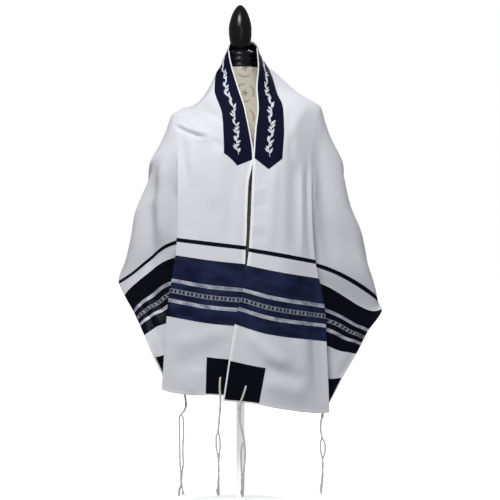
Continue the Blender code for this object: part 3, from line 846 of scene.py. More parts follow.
def add_vine():
    """Leaves in alternating pairs, each a pointed oval, half its width times the sine of half a
    turn wide, domed like satin stitch, and a round stem that follows the sine. Lengths and leans
    vary by a cosine and a sine of the leaf's place."""
    base = np.arange(VINE_FROM, VINE_TO, LEAF_EVERY)
    hand = np.where(np.arange(len(base)) % 2, 1.0, -1.0)
    base, hand = np.concatenate([base, base + LEAF_APART]), np.concatenate([hand, -hand])
    lean = LEAF_LEAN + LEAF_VARIES * np.sin(base * 2.3)
    long = LEAF_LONG * (1 - LEAF_VARIES * np.cos(base * 1.7))
    toward = np.where(base < MIDDLE, 1.0, -1.0)
    s, t = np.linspace(0, 1, LEAF_ROWS)[:, None], np.linspace(-1, 1, LEAF_COLUMNS)
    lean, long, toward, hand, root = (
        each[:, None, None] for each in (lean, long, toward, hand, base)
    )
    half = LEAF_WIDE / 2 * np.sin(math.pi * s**LEAF_ROUND) * t
    a = root + toward * (long * s * np.cos(lean) - half * np.sin(lean))
    v = vine(root) + hand * (long * s * np.sin(lean) + half * np.cos(lean))
    points, normals = cloth(a, v)
    dome = np.broadcast_to(THREAD * (1 - t**2) + THREAD_LIFT, a.shape)
    leaves = (points + normals * (ATARAH_HIGH + dome)[..., None]).reshape(-1, 3)
    leaf = grid_quads(LEAF_ROWS, LEAF_COLUMNS)
    first = LEAF_ROWS * LEAF_COLUMNS * np.arange(len(base))[:, None, None]
    leaf_faces = (leaf + first).reshape(-1, 4)
    along = np.linspace(VINE_FROM - STEM_BEYOND, VINE_TO + STEM_BEYOND, STEM_STEPS)
    points, normals = cloth(along[:, None], vine(along)[:, None])
    side = unit(np.cross(np.gradient(points, axis=0), normals))
    ring = circle(STEM_SIDES)[:, None]
    stem = points + normals * (ATARAH_HIGH + STEM_LIFT + STEM_HIGH * np.sin(ring))
    stem = stem + side * STEM_WIDE * np.cos(ring)
    stem_faces = grid_quads(len(along), STEM_SIDES, closed=True) + len(leaves)
    uv = np.concatenate([np.stack([a, v], -1).reshape(-1, 2), np.zeros((stem[..., 0].size, 2))])
    points = np.concatenate([leaves, stem.reshape(-1, 3)])
    return add_piece("atarah_embroidery", points, np.concatenate([leaf_faces, stem_faces]), uv)


embroidery = add_vine()
print("atarah:", triangles(atarah), "embroidery:", triangles(embroidery), "triangles")

# %% [markdown]
# ## The tassels
# A tzitzit is four long threads pulled through the corner's hole and doubled, so eight strands hang
# from it: tied together into a cord for the upper third, with a small knot, then loose. Two bundles
# of four part and meet again on the way down. Every strand here is a thin tube that winds round its
# bundle's path, and the paths come from a table for each tassel, read from the photograph.

# %% The tassels' paths: height, the left bundle's x, the right bundle's x, and a bundle's radius
TASSEL_PATHS = {
    "tzitzit_front_left": """
  z left right ring
 46  -58   -54  1.3
 68  -57   -54  1.1
 95  -55   -54  1.0
132  -55   -54  1.0
148  -57   -53  1.0
170  -61   -51  1.0
193  -61   -52  1.0
205  -56   -56  1.6
240  -53   -53  1.6
262  -51   -51  1.6
286  -50   -50  1.7
316  -52   -52  1.6
338  -51   -51  1.5
344  -50   -50  0.9
""",
    "tzitzit_back_left": """
  z left right ring
 38 -158  -145  1.4
 50 -156  -147  1.2
 68 -152  -150  1.0
 94 -152  -149  1.0
120 -154  -146  1.0
158 -155  -147  1.0
197 -156  -145  1.0
236 -156  -146  1.0
246 -151  -151  1.5
255 -143  -143  1.6
270 -139  -139  1.7
290 -141  -141  1.6
312 -147  -147  1.6
345 -155  -155  1.5
352 -156  -156  0.9
""",
    "tzitzit_front_right": """
  z left right ring
 44    3     7  1.3
 68    4     8  1.1
 98    4     9  1.1
122    3    11  1.0
150    2    13  1.0
174    5    12  1.0
184   11    11  1.5
198    8     8  1.6
214    4     4  1.6
230    0     0  1.6
246   -1    -1  1.6
266   -1    -1  1.7
283    2     2  1.6
300    8     8  1.6
316   13    13  1.5
323   15    15  0.9
""",
    "tzitzit_back_right": """
  z left right ring
 42  206   207  1.3
 66  208   210  1.1
 95  211   212  1.1
127  211   212  1.0
138  209   215  1.0
154  206   218  1.0
172  206   216  1.0
184  210   210  1.5
205  206   206  1.6
224  207   207  1.6
240  211   211  1.7
262  213   213  1.6
288  214   214  1.5
296  214   214  0.9
""",
}
STRANDS, STRAND_RADIUS, STRAND_SIDES, TUBE_TAPER = 8, 1.15, 6, 0.3
PITCH, PATH_STEPS = 26.0, round(150 * fine)

# How far beside a cord the cloth counts, and how far the cord stays before it. At its top it
# dives HOLE_DEEP into the hole.
CORD_REACH, CORD_CLEAR, HOLE_DEEP, HOLE_FADE = 9.0, 3.4, 1.5, 60
SAMPLES_BESIDE, SAMPLES_DOWN = 9, 24

# Two bundles this far apart are twisted on their own, and are then wider by BUNDLE_WIDER.
APART, BUNDLE_WIDER = 8, 0.2

# Where an end starts to fray and how far, and the step between the strands' lengths.
FRAY_FROM, FRAY_OUT, END_STEP = 0.93, 3.0, 0.9

# The heights of the knots' middles, and a knot's turns and sizes.
KNOTS = {"tzitzit_front_left": 262, "tzitzit_back_left": 270, "tzitzit_front_right": 266,
         "tzitzit_back_right": 240}
KNOT_TURNS, KNOT_RADIUS, KNOT_HIGH, KNOT_THREAD = 3, 2.7, 6.0, 1.0


def square_front(side, across):
    """The foremost y of the cloth under a corner's hole, against height: a table of heights and
    depths from the hole down to the short hem."""
    hem = 0.0 if side == "left" else CLOTH_LONG
    hole = abs(hem - (SQUARE_FROM + SQUARE_TO) / 2)
    beside = across + np.linspace(-1, 1, SAMPLES_BESIDE) * CORD_REACH
    down = np.linspace(hem, hole, SAMPLES_DOWN)[:, None]
    points, _ = cloth(*np.broadcast_arrays(down, beside))
    return points[:, len(beside) // 2, 2], points[..., 1].min(axis=1)


def tube_mesh(paths, radius, sides):
    """Vertices and quads of round tubes along paths (tubes, steps, 3): a ring at each step, in the
    plane square to the path, cosine to the side and sine to the back. Both ends taper."""
    along_path = unit(np.gradient(paths, axis=1))
    side = unit(np.cross(along_path, np.array([0.0, 1.0, 0.001])))
    back = np.cross(side, along_path)
    ring = circle(sides)[:, None]
    tubes, count = paths.shape[:2]
    taper = np.ones(count)
    taper[[0, -1]] = TUBE_TAPER
    reach = radius * taper[:, None, None]
    around = side[:, :, None] * np.cos(ring) + back[:, :, None] * np.sin(ring)
    points = paths[:, :, None] + reach * around
    one = grid_quads(count, sides, closed=True)
    faces = (one + count * sides * np.arange(tubes)[:, None, None]).reshape(-1, 4)
    return points.reshape(-1, 3), faces


def add_tassel(name):
    """Eight strands and a knot. The bundles follow their columns of the table on a smooth curve,
    in depth always before the cloth above. A strand circles its bundle once every PITCH, eight
    to a ring where the bundles touch and four where they are apart. Its end frays sideways by a
    squared ramp, and ends are of different lengths. The knot is a small coil."""
    corner, side = name.rsplit("_", 2)[1:]
    across = SQUARE_FROM / 2 + SQUARE_TO / 2
    across = across if corner == "front" else CLOTH_WIDE - across
    path = TASSEL_PATHS[name]
    low, high = table(path)["z"][[0, -1]]
    t = np.linspace(0, 1, PATH_STEPS)
    z = high + (low - high) * t
    left, right, ring = guide(path, z, "left", "right", "ring").T
    heights, front = square_front(side, across)
    order = np.argsort(heights)
    y = np.interp(z, heights[order], front[order]) - HALF - LAYER - CORD_CLEAR
    y = np.minimum.accumulate(y)
    sink = np.exp(-t * HOLE_FADE) * (CORD_CLEAR + HOLE_DEEP)
    strand = np.arange(STRANDS)[:, None]
    bundle = strand // (STRANDS // 2)
    apart = np.clip((right - left) / APART, 0, 1)
    turn_of_eight = 2 * math.pi * strand / STRANDS
    turn_of_four = 2 * math.pi * (strand % 4) / 4 + bundle
    angle = turn_of_eight * (1 - apart) + turn_of_four * apart + 2 * math.pi * z / PITCH
    wide = ring * (1 + BUNDLE_WIDER * apart)
    fray = np.clip((t - FRAY_FROM) / (1 - FRAY_FROM), 0, 1) ** 2
    shuffled = strand * 37 % 11 - 5
    shorter = np.clip((t - 0.5) / 0.5, 0, 1) * shuffled * END_STEP
    x = np.where(bundle, right, left) + fray * FRAY_OUT * np.sin(strand * 2.4)
    path = np.stack([x + wide * np.cos(angle), y + sink + wide * np.sin(angle), z + shorter], -1)
    points, faces = tube_mesh(path, STRAND_RADIUS, STRAND_SIDES)
    middle = int(np.argmin(np.abs(z - KNOTS[name])))
    turn = np.linspace(0, 1, round(60 * fine))
    coil = np.stack([
        left[middle] + KNOT_RADIUS * np.cos(2 * math.pi * KNOT_TURNS * turn),
        y[middle] + KNOT_RADIUS * np.sin(2 * math.pi * KNOT_TURNS * turn),
        KNOTS[name] + KNOT_HIGH * (turn - 0.5),
    ], axis=-1)
    knot_points, knot_faces = tube_mesh(coil[None], KNOT_THREAD, STRAND_SIDES)
    step_and_side = np.indices((STRANDS, PATH_STEPS, STRAND_SIDES))[1:].reshape(2, -1).T
    uv = np.concatenate([step_and_side, np.zeros((len(knot_points), 2))])
    faces = np.concatenate([faces, knot_faces + len(points)])
    return add_piece(name, np.concatenate([points, knot_points]), faces, uv)


tassels = {name: add_tassel(name) for name in TASSEL_PATHS}
print("tassels:", triangles(*tassels.values()), "triangles")

# %% [markdown]
# ## The dress form
# The shawl rests on a small limbless form: a padded torso in printed jersey, a turned neck cap, an
# egg finial in black lacquer, a pole and a round base. The photograph shows only the V of the
# torso, the cap and the finial. The turned pieces are lathe profiles, and the torso is a stack of
# rounded sections with a smooth curve through them.

# %% The form's torso and turned pieces
TORSO_ROUNDNESS, TORSO_LOW, TORSO_TOP = 2.3, 560.0, 1138.0
RIM, TOP_RIM, RIM_TO = 1.2, 1.4, 4.0
TORSO = """
   z wide deep
 560  138   84
 640  134   82
 740  120   78
 830  130   88
 910  150   98
 970  158   98
1005  144   90
1035  114   76
1060   90   64
1085   67   56
1110 54.5   51
1138 47.3 47.3
"""
CAP_PROFILE = """
   r      z
   0 1138.3
40.5 1138.3
41.2   1140
41.2 1144.5
39.4   1147
38.8   1149
39.6   1151
41.4   1153
41.8   1157
41.4 1160.5
39.2   1163
38.2   1165
38.8   1167
39.4   1170
39.2   1173
37.6   1177
  34 1180.5
  27   1184
  18   1186
  10   1187
   0   1187
"""
FINIAL_PROFILE = """
   r      z
   0 1187.2
19.5 1187.2
21.5 1189.5
  24   1195
26.2   1202
27.8   1209
29.2   1218
30.3   1229
30.5   1240
28.9   1254
25.4   1268
20.2 1281.5
14.2   1292
 8.4 1298.8
 3.6 1302.1
   0   1303
"""
POLE_PROFILE = """
 r     z
 0  12.2
11  12.2
11 559.8
 0 559.8
"""
BASE_PROFILE = """
  r    z
  0    0
136    0
139    1
140    3
140    8
139 10.5
136   12
  0   12
"""


def add_torso():
    """A superellipse at each height: x is wide times cos to the power 2/n, y is deep times sin to
    the power 2/n, and both half widths follow a smooth curve through the table. The rims are
    bevelled and both ends are closed."""
    side = np.linspace(TORSO_LOW + RIM_TO, TORSO_TOP - RIM_TO, round(90 * fine))
    top = [TORSO_TOP - TOP_RIM, TORSO_TOP, TORSO_TOP]
    z = np.concatenate([[TORSO_LOW, TORSO_LOW, TORSO_LOW + RIM], side, top])
    size = guide(TORSO, z, "wide", "deep")
    size[[0, -1]] = 0
    size[[1, -2]] -= RIM
    angle = circle(round(120 * fine))
    power = 2 / TORSO_ROUNDNESS
    x = np.sign(np.cos(angle)) * np.abs(np.cos(angle)) ** power * size[:, :1]
    y = np.sign(np.sin(angle)) * np.abs(np.sin(angle)) ** power * size[:, 1:]
    points = np.stack([x, y, np.broadcast_to(z[:, None], x.shape)], axis=-1)
    return add_piece("form_torso", points, grid_quads(len(z), len(angle), closed=True), sharp=50)


def add_turned(name, profile, sides=96, smooth=True):
    """A body turned round the pole's axis: its profile is a smooth curve by arc length through
    the table's radii and heights, or straight lines."""
    rows = table(profile)
    knots = np.stack([rows["r"], rows["z"]], axis=-1)
    if smooth:
        at = np.concatenate([[0], np.cumsum(np.linalg.norm(np.diff(knots, axis=0), axis=-1))])
        knots = curve_through(at, knots, np.linspace(0, at[-1], round(110 * fine)))
    angle = circle(sides)
    radius, z = knots[:, :1], knots[:, 1:]
    z = np.broadcast_to(z, (len(z), sides))
    points = np.stack([radius * np.cos(angle), radius * np.sin(angle), z], axis=-1)
    return add_piece(name, points, grid_quads(len(z), sides, closed=True), sharp=35)


form = {
    "form_torso": add_torso(),
    "form_neck_cap": add_turned("neck_cap", CAP_PROFILE),
    "form_finial": add_turned("finial", FINIAL_PROFILE),
    "form_pole": add_turned("pole", POLE_PROFILE, sides=48, smooth=False),
    "form_base": add_turned("base", BASE_PROFILE, smooth=False),
}
print("form:", triangles(*form.values()), "triangles")

# %% [markdown]
# ## Finishes
# All finishes are procedural, on the UV map of the cut or on object coordinates. Shader maths is
# written with ordinary operators through one small wrapper, so that a pattern reads as a formula.
# An image texture would be the other way, but a weave that is a formula stays sharp at any size.

# %% Shader helpers
class Value:
    """A shader output, with the arithmetic of plain numbers."""

    def __init__(self, finish, socket):
        self.finish, self.socket = finish, socket

    def math(self, operation, *others):
        """The named operation of a Math node on this value and the others."""
        return self.finish.node("ShaderNodeMath", self, *others, operation=operation)

    def __add__(self, other):
        return self.math("ADD", other)

    def __sub__(self, other):
        return self.math("SUBTRACT", other)

    def __mul__(self, other):
        return self.math("MULTIPLY", other)

    def __truediv__(self, other):
        return self.math("DIVIDE", other)

    def __rsub__(self, other):
        return self.finish.node("ShaderNodeMath", other, self, operation="SUBTRACT")

    __radd__, __rmul__ = __add__, __mul__

    def sine(self, wave):
        """A wave of that length, from -1 to 1."""
        return (self * (2 * math.pi / wave)).math("SINE")

    def between(self, low, high, soft):
        """1 between low and high, with soft edges, and 0 outside."""
        rise = ((self - low) / soft + 0.5).clamped()
        fall = ((high - self) / soft + 0.5).clamped()
        return rise * fall

    def about(self, middle, wide, soft):
        """1 within half of wide from the middle, with soft edges, and 0 outside."""
        return self.between(middle - wide / 2, middle + wide / 2, soft)

    def clamped(self):
        """No less than 0 and no more than 1."""
        return self.math("MAXIMUM", 0.0).math("MINIMUM", 1.0)


class Finish:
    """A material with one Principled shader; constants are set on the shader's own sockets."""

    def __init__(self, name, colour, roughness, **constants):
        self.material = bpy.data.materials.new(name)
        self.material.use_nodes = True
        self.tree = self.material.node_tree
        self.shader = self.tree.nodes["Principled BSDF"]
        self.set("Base Color", (*colour, 1.0))
        self.set("Roughness", roughness)
        for key, value in constants.items():
            self.set(key.replace("_", " "), value)

    def set(self, socket, value):
        """Gives one of the shader's sockets a constant, or links a value to it."""
        self.put(self.shader.inputs[socket], value)

    def put(self, socket, value):
        """Links a value to a socket, or sets a constant on it."""
        if isinstance(value, Value):
            self.tree.links.new(value.socket, socket)
        else:
            socket.default_value = value

    def node(self, kind, *inputs, output=0, named=None, **settings):
        """Adds a node of that kind with its settings, input values or links, and returns one of
        its outputs."""
        node = self.tree.nodes.new(kind)
        for key, value in settings.items():
            setattr(node, key, value)
        for socket, value in zip(node.inputs, inputs):
            self.put(socket, value)
        for key, value in (named or {}).items():
            self.put(node.inputs[key], value)
        return Value(self, node.outputs[output])

    def cut(self):
        """The place on the cut in millimetres: (along, across)."""
        uv = self.node("ShaderNodeUVMap", uv_map="cut")
        along, across = (self.node("ShaderNodeSeparateXYZ", uv, output=k) for k in (0, 1))
        return along * 1000.0, across * 1000.0

    def place(self):
        """The place in the object's own space, in millimetres: x, y, z."""
        where = self.node("ShaderNodeTexCoord", output=3)
        return [self.node("ShaderNodeSeparateXYZ", where, output=k) * 1000.0 for k in range(3)]

    def noise(self, x, y, z, size, detail=3.0):
        """Soft noise from 0 to 1 whose blobs are about size millimetres, at a place."""
        where = self.node("ShaderNodeCombineXYZ", x / size, y / size, z / size)
        named = {"Vector": where, "Scale": 1.0, "Detail": detail}
        return self.node("ShaderNodeTexNoise", named=named)

    def mix(self, share, first, second):
        """A colour between two colours."""
        node = self.tree.nodes.new("ShaderNodeMix")
        node.data_type = "RGBA"
        for socket, value in zip((0, 6, 7), (share, first, second)):
            value = (*value, 1.0) if isinstance(value, tuple) else value
            self.put(node.inputs[socket], value)
        return Value(self, node.outputs[2])

    def bump(self, height, distance, strength=1.0):
        """Raises the surface by height times distance, in millimetres."""
        named = {"Height": height, "Distance": distance * MM, "Strength": strength}
        self.set("Normal", self.node("ShaderNodeBump", named=named))

    def wear(self, piece, slot):
        """Puts the finish on a piece; the slot is not used."""
        piece.data.materials.clear()
        piece.data.materials.append(self.material)


print("shader helpers ready")

# %% [markdown]
# ## White cloth
# A plain weave in cool white, quite matt. The weave is one wave along the cloth times one across
# it. Hems are double, so they look a shade lighter, and a row of machine stitches runs beside each.
# Inside the neck a near-black navy shows, partly the band's lining and partly painted shade inside
# the collar, and a navy edge where bands and stripes are turned under.

# %% White cloth
THREAD_WAVE, STITCH_WAVE, STITCH_WIDE, STITCH_IN = 1.3, 3.2, 0.9, 1.2
LINING_FROM, LINED_FROM, LINED_TO, FACED_TO = 880.0, 5.0, 76.0, 1.2
SINGLE, DOUBLE, STITCHED = (0.71, 0.72, 0.755), (0.88, 0.89, 0.90), (0.45, 0.46, 0.50)
LINING_AND_SHADE, NAVY_TURN = (0.006, 0.007, 0.020), (0.012, 0.016, 0.045)


def stitches(lines):
    """1 on short dashes along each line: lines holds the coordinate across it, the coordinate
    along it and its place. The rows of dashes are added up."""
    rows = []
    for off, run, place in lines:
        dash = (run / STITCH_WAVE).math("FRACT").between(0.2, 0.8, 0.15)
        rows.append(off.about(place, STITCH_WIDE, 0.4) * dash)
    return sum(rows[1:], rows[0])


def hem_lines(along, across):
    """The stitch lines of the four hems, each just inside the hem's inner edge."""
    long_in, short_in = CENTRE_HEM - STITCH_IN, SHORT_HEM - 1.0
    return [
        (across, along, long_in), (across, along, CLOTH_WIDE - long_in),
        (along, across, short_in), (along, across, CLOTH_LONG - short_in),
    ]


white = Finish("white_cloth", (0.72, 0.73, 0.765), 0.85, Specular_IOR_Level=0.2)
along, across = white.cut()
weave = along.sine(THREAD_WAVE) * across.sine(THREAD_WAVE)
slub = white.noise(along, across, 0.0, 9.0)
hem_at = along.math("MINIMUM", CLOTH_LONG - along)
short_hem = hem_at.between(-1.0, SHORT_HEM, 1.0)
double = (across.between(-1.0, CENTRE_HEM, 1.0) + short_hem * 0.4).clamped()
sewn = stitches(hem_lines(along, across))
tone = white.mix(double, SINGLE, DOUBLE)
# Painted shade and lining: a near-black navy on the cloth inside the back of the neck.
lined_and_shaded = along.between(LINING_FROM, CLOTH_LONG - LINING_FROM, 1.0)
tone = white.mix(across.between(LINED_FROM, LINED_TO, 1.0) * lined_and_shaded, tone, LINING_AND_SHADE)
trimmed = hem_at.between(BAND_FROM, BAND_TO, 0.5) + hem_at.between(STRIPE_FROM, STRIPE_TO, 0.5)
tone = white.mix(across.between(-1.0, FACED_TO, 0.3) * trimmed, tone, NAVY_TURN)
white.set("Base Color", white.mix(sewn * 0.35, tone, STITCHED))
white.bump(weave * 0.12 + slub * 0.35 - sewn, 0.35, 0.5)
white.wear(shawl, "white_cloth")
print("white cloth on", shawl.name)

# %% [markdown]
# ## Navy satin, silver ribbons and navy velvet
# Satin floats its threads along the ribbon, so it shines in soft clouds, painted into its colour as
# painted highlights. The panels catch the front light, and the side wings turn away from it and go
# nearly black: painted shade, a near-black colour beyond each front fold. The silver ribbons get
# painted highlights in the same way. The figured ribbon has dark oblongs in pairs on silver grey.
# Squares and neck band have a short matt nap.

# %% Finishes of the trims
# The fold between panel and wing lies this far across, and further down the right front. Beyond
# it the satin's colour is painted shade.
PANEL_WIDE, WIDER_FROM, WIDER_BY = 193.0, 1636.0, 0.31
SATIN_LOW_SHEEN, SATIN_PAINTED_SHEEN = (0.007, 0.010, 0.032), (0.017, 0.025, 0.074)
SHADED_WING_SATIN, OBLONG = (0.0024, 0.0030, 0.0075), (0.006, 0.007, 0.018)
SILVER_LOW_SHEEN, SILVER_PAINTED_SHEEN = (0.21, 0.215, 0.27), (0.62, 0.63, 0.72)
GREY_DARK, GREY_LIGHT = (0.13, 0.14, 0.18), (0.30, 0.31, 0.37)
PAIR, OBLONG_WIDE, OBLONG_HIGH, OBLONGS_AT = 21.8, 5.0, 8.2, (0.28, 0.72)

satin = Finish("navy_satin", (0.012, 0.016, 0.045), 0.42, Specular_IOR_Level=0.07)
along, across = satin.cut()
# Painted highlights: clouds of a lighter colour stand for the satin's sheen.
sheen_cloud = satin.noise(along, across * 0.45, 0.0, 26.0, 2.0)
sheen_share = ((sheen_cloud - 0.36) * 3.2).clamped()
turn = PANEL_WIDE + ((along - WIDER_FROM) * WIDER_BY).math("MAXIMUM", 0.0)
lit_panel = ((turn - across) / 6.0 + 0.5).clamped()
lit = satin.mix(sheen_share, SATIN_LOW_SHEEN, SATIN_PAINTED_SHEEN)
# Painted shade: beyond the fold between panel and wing the satin gets a near-black colour.
satin.set("Base Color", satin.mix(lit_panel, SHADED_WING_SATIN, lit))
satin.set("Roughness", 0.36 + 0.16 * sheen_cloud)
sewn = stitches([(across, along, CENTRE_HEM - STITCH_IN)])
satin.bump(across.sine(0.9) * 0.05 + sheen_cloud * 0.6 - sewn * 0.8, 0.6, 0.4)

stripe = Finish("navy_stripe", (0.0035, 0.0035, 0.009), 0.6, Specular_IOR_Level=0.06)

silver = Finish("silver_ribbon", (0.30, 0.31, 0.36), 0.40, Metallic=0.15)
along, across = silver.cut()
# Painted highlights: clouds of a lighter colour stand for the ribbon's sheen.
sheen_cloud = silver.noise(along, across * 0.5, 0.0, 13.0, 3.0)
sheen_share = ((sheen_cloud - 0.34) * 2.8).clamped()
silver.set("Base Color", silver.mix(sheen_share, SILVER_LOW_SHEEN, SILVER_PAINTED_SHEEN))
silver.bump(across.sine(1.1) * 0.2 + sheen_cloud, 0.25, 0.5)

figured = Finish("figured_ribbon", (0.20, 0.21, 0.26), 0.5, Specular_IOR_Level=0.2)
along, across = figured.cut()
repeat = (across / PAIR).math("FRACT") * PAIR
first, second = (repeat.about(PAIR * at, OBLONG_WIDE, 0.7) for at in OBLONGS_AT)
centre = sum(FIGURED_RIBBON) / 2
row, other = (along.about(at, OBLONG_HIGH, 0.8) for at in (centre, CLOTH_LONG - centre))
oblong = (first + second) * (row + other)
ground = figured.mix(figured.noise(along, across, 0.0, 7.0), GREY_DARK, GREY_LIGHT)
figured.set("Base Color", figured.mix(oblong, ground, OBLONG))
figured.bump(across.sine(1.2) * 0.2 - oblong * 0.8, 0.3, 0.5)

velvet = Finish("corner_velvet", (0.0025, 0.003, 0.007), 0.75, Specular_IOR_Level=0.06)
along, across = velvet.cut()
velvet.bump(velvet.noise(along, across, 0.0, 1.6), 0.3, 0.4)

band = Finish("atarah_velvet", (0.0045, 0.0053, 0.021), 0.7, Specular_IOR_Level=0.06)
along, across = band.cut()
band.bump(along.sine(1.4) * across.sine(1.4) * 0.4 + band.noise(along, across, 0.0, 3.0), 0.3, 0.5)

thread = Finish("silver_thread", (0.72, 0.73, 0.80), 0.5, Specular_IOR_Level=0.3)
along, across = thread.cut()
thread.bump((along + across).sine(1.1), 0.25, 0.6)

cord = Finish("white_cord", (0.70, 0.695, 0.67), 0.8, Sheen_Weight=0.1)
x, _, z = cord.place()
cord.bump((z + x * 0.8).sine(2.2), 0.3, 0.5)

wears = {
    "narrow_stripe": (stripe, "navy_satin"), "satin_band": (satin, "navy_satin"),
    "silver_ribbon": (silver, "silver_ribbon"), "figured_ribbon": (figured, "figured_ribbon"),
    "corner_square": (velvet, "navy_velvet"),
}
for name, piece in trims.items():
    finish, slot = next(pair for start, pair in wears.items() if name.startswith(start))
    finish.wear(piece, slot)
band.wear(atarah, "navy_velvet")
thread.wear(embroidery, "navy_velvet")
for piece in tassels.values():
    cord.wear(piece, "white_cord")
print("finishes:", len(bpy.data.materials))

# %% [markdown]
# ## The form's finishes
# The torso's jersey is a warm beige with a brown print. The print on the real one is script, so
# this one has generic broken rings round small rosettes, in the same brown. Cap and finial are
# turned wood under black lacquer. Pole and base are painted white, and get a slight glow as painted
# light, so that they stay as white as the ground behind them.

# %% Finishes of the form
SEAM_X, SEAM_WIDE = -11.0, 1.0
CELL_WIDE, CELL_HIGH, CELL_X, CELL_Z = 62.0, 66.0, 0.32, 0.3
RING_IN, RING_OUT, DASHES, ROSETTE, PETALS, PETAL_LONG = 21.0, 25.6, 4.3, 6.5, 5.0, 3.0
BEIGE_DARK, BEIGE_LIGHT, BROWN = (0.40, 0.365, 0.30), (0.54, 0.50, 0.415), (0.085, 0.062, 0.048)

jersey = Finish("beige_jersey", (0.50, 0.46, 0.37), 0.9, Sheen_Weight=0.2)
x, y, z = jersey.place()
cell_x = ((x / CELL_WIDE + CELL_X).math("FRACT") - 0.5) * CELL_WIDE
cell_z = ((z / CELL_HIGH + CELL_Z).math("FRACT") - 0.5) * CELL_HIGH
far = ((cell_x * cell_x) + (cell_z * cell_z)).math("SQRT")
turn = cell_z.math("ARCTAN2", cell_x)
dashes = (turn * DASHES).math("FRACT").between(0.15, 0.75, 0.2)
dashes = dashes * (turn * 0.5 + 0.3).math("FRACT").between(0.1, 0.8, 0.1)
ring = far.between(RING_IN, RING_OUT, 1.2) * dashes
petals = ROSETTE + (turn * PETALS).math("COSINE") * PETAL_LONG
rosette = far.between(-1.0, petals, 1.5) * (0.3 + jersey.noise(x, y, z, 4.0))
seam = x.about(SEAM_X, SEAM_WIDE, 0.5) * (y * -1.0).between(0.0, 500.0, 1.0)
brown = ((ring + rosette) * (0.6 + jersey.noise(x, y, z, 12.0))).clamped()
ground = jersey.mix(jersey.noise(x, y, z, 30.0), BEIGE_DARK, BEIGE_LIGHT)
jersey.set("Base Color", jersey.mix((brown * 0.75 + seam * 0.5).clamped(), ground, BROWN))
jersey.bump(x.sine(1.6) * z.sine(1.6) * 0.2 - seam, 0.4, 0.5)

lacquer = Finish("black_wood", (0.004, 0.004, 0.005), 0.22, Specular_IOR_Level=0.25)
x, y, z = lacquer.place()
lacquer.set("Roughness", 0.18 + 0.12 * lacquer.noise(x, y, z, 18.0))

# Painted light: the white paint glows a little so pole and base stay as white as the ground.
PAINTED_LIGHT_GLOW = 0.28
paint = Finish("white_metal", (0.93, 0.93, 0.93), 0.35)
x, y, z = paint.place()
paint.set("Roughness", 0.32 + 0.08 * paint.noise(x, y, z, 25.0))
paint.set("Emission Color", (1.0, 1.0, 1.0, 1.0))
paint.set("Emission Strength", PAINTED_LIGHT_GLOW)

for node, (finish, slot) in {
    "form_torso": (jersey, "beige_jersey"), "form_neck_cap": (lacquer, "black_wood"),
    "form_finial": (lacquer, "black_wood"), "form_pole": (paint, "white_metal"),
    "form_base": (paint, "white_metal"),
}.items():
    finish.wear(form[node], slot)
print("form finished")

# %% [markdown]
# ## What rides on what
# Nothing moves, so every piece rides on the one body, and each stands for its own solid.

for name, piece in {**trims, **tassels, **form, "shawl_body": shawl, "atarah": atarah}.items():
    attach(piece, "root")
    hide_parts(name)
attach(embroidery, "root")
print("cloth declared:", shawl.name)

# %% [markdown]
# ## Studio
# A white floor under a white sky, as in a catalogue photograph cut out on white. Both look white to
# the camera from every side. The floor doesn't light the part, and the sky lights it only weakly
# and evenly, so one small key light above the front models the folds, with a weak one from the
# front and one for the back. The camera is level and far away, with a long lens, because the form's
# round pieces show no top or underside.

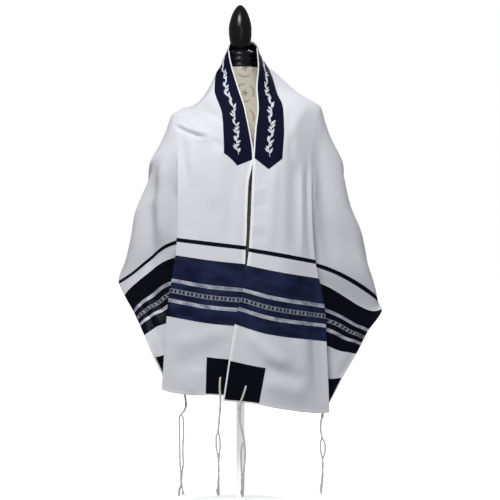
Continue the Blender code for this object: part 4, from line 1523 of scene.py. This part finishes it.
# %% Floor, lights and camera
FLOOR_HALF, FLOOR_GLOW, SKY_LIGHT = 30000.0, 0.85, 0.31
corner = np.array([-FLOOR_HALF, FLOOR_HALF])
grid = np.stack(np.broadcast_arrays(corner, corner[:, None], 0.0), axis=-1)
floor = add_piece("floor", grid, grid_quads(2, 2)[:, ::-1])
floor_paint = Finish("floor_white", (0.80, 0.80, 0.80), 0.9, Specular_IOR_Level=0.0)
floor_paint.set("Emission Color", (1.0, 1.0, 1.0, 1.0))
floor_paint.set("Emission Strength", FLOOR_GLOW)
floor.data.materials.append(floor_paint.material)
floor.visible_diffuse = False
floor.visible_glossy = False
floor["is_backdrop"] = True


def add_light(name, place, aim, size, power):
    """A square area light at a place that faces a point, both in metres: it is tipped from
    straight down by the arc cosine of its fall, and turned to the aim's side."""
    data = bpy.data.lights.new(name, "AREA")
    data.shape, data.size, data.energy = "SQUARE", size, power
    light = bpy.data.objects.new(name, data)
    light.location = place
    toward = unit(np.array(aim) - np.array(place))
    heading = math.atan2(toward[1], toward[0]) - math.pi / 2
    light.rotation_euler = (math.acos(-toward[2]), 0.0, heading)
    bpy.context.scene.collection.objects.link(light)


add_light("key", (-0.38, -1.75, 2.55), (0.0, 0.0, 0.8), 0.7, 48)
add_light("front", (0.7, -4.2, 1.3), (0.0, 0.0, 0.6), 1.2, 9)
add_light("back", (0.8, 2.6, 2.2), (0.0, 0.0, 0.8), 1.8, 50)
world = bpy.data.worlds.new("studio")
bpy.context.scene.world = world
world.use_nodes = True
nodes, links = world.node_tree.nodes, world.node_tree.links
sky, seen = nodes["Background"], nodes.new("ShaderNodeBackground")
sky.inputs["Color"].default_value = (0.94, 0.97, 1.0, 1.0)
sky.inputs["Strength"].default_value = SKY_LIGHT
seen.inputs["Color"].default_value = (1.0, 1.0, 1.0, 1.0)
either, ray = nodes.new("ShaderNodeMixShader"), nodes.new("ShaderNodeLightPath")
links.new(ray.outputs["Is Camera Ray"], either.inputs[0])
links.new(sky.outputs[0], either.inputs[1])
links.new(seen.outputs[0], either.inputs[2])
links.new(either.outputs[0], nodes["World Output"].inputs["Surface"])

VIEW_WIDE, VIEW_X, VIEW_Z, VIEW_FAR = 1.300, 0.0247, 0.6656, 4.8
camera = bpy.data.objects.new("camera", bpy.data.cameras.new("camera"))
camera.location = (VIEW_X, -VIEW_FAR, VIEW_Z)
camera.rotation_euler = (math.pi / 2, 0.0, 0.0)
camera.data.sensor_width = 36.0
camera.data.lens = camera.data.sensor_width * VIEW_FAR / VIEW_WIDE
camera.data.dof.use_dof = False
bpy.context.scene.collection.objects.link(camera)
bpy.context.scene.camera = camera
bpy.context.scene.view_settings.view_transform = "Standard"
print("lens", round(camera.data.lens, 1), "mm")

# %% Size of the dressed part
low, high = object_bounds()
print("visual box in mm:", [round(v / MM) for v in high - low])
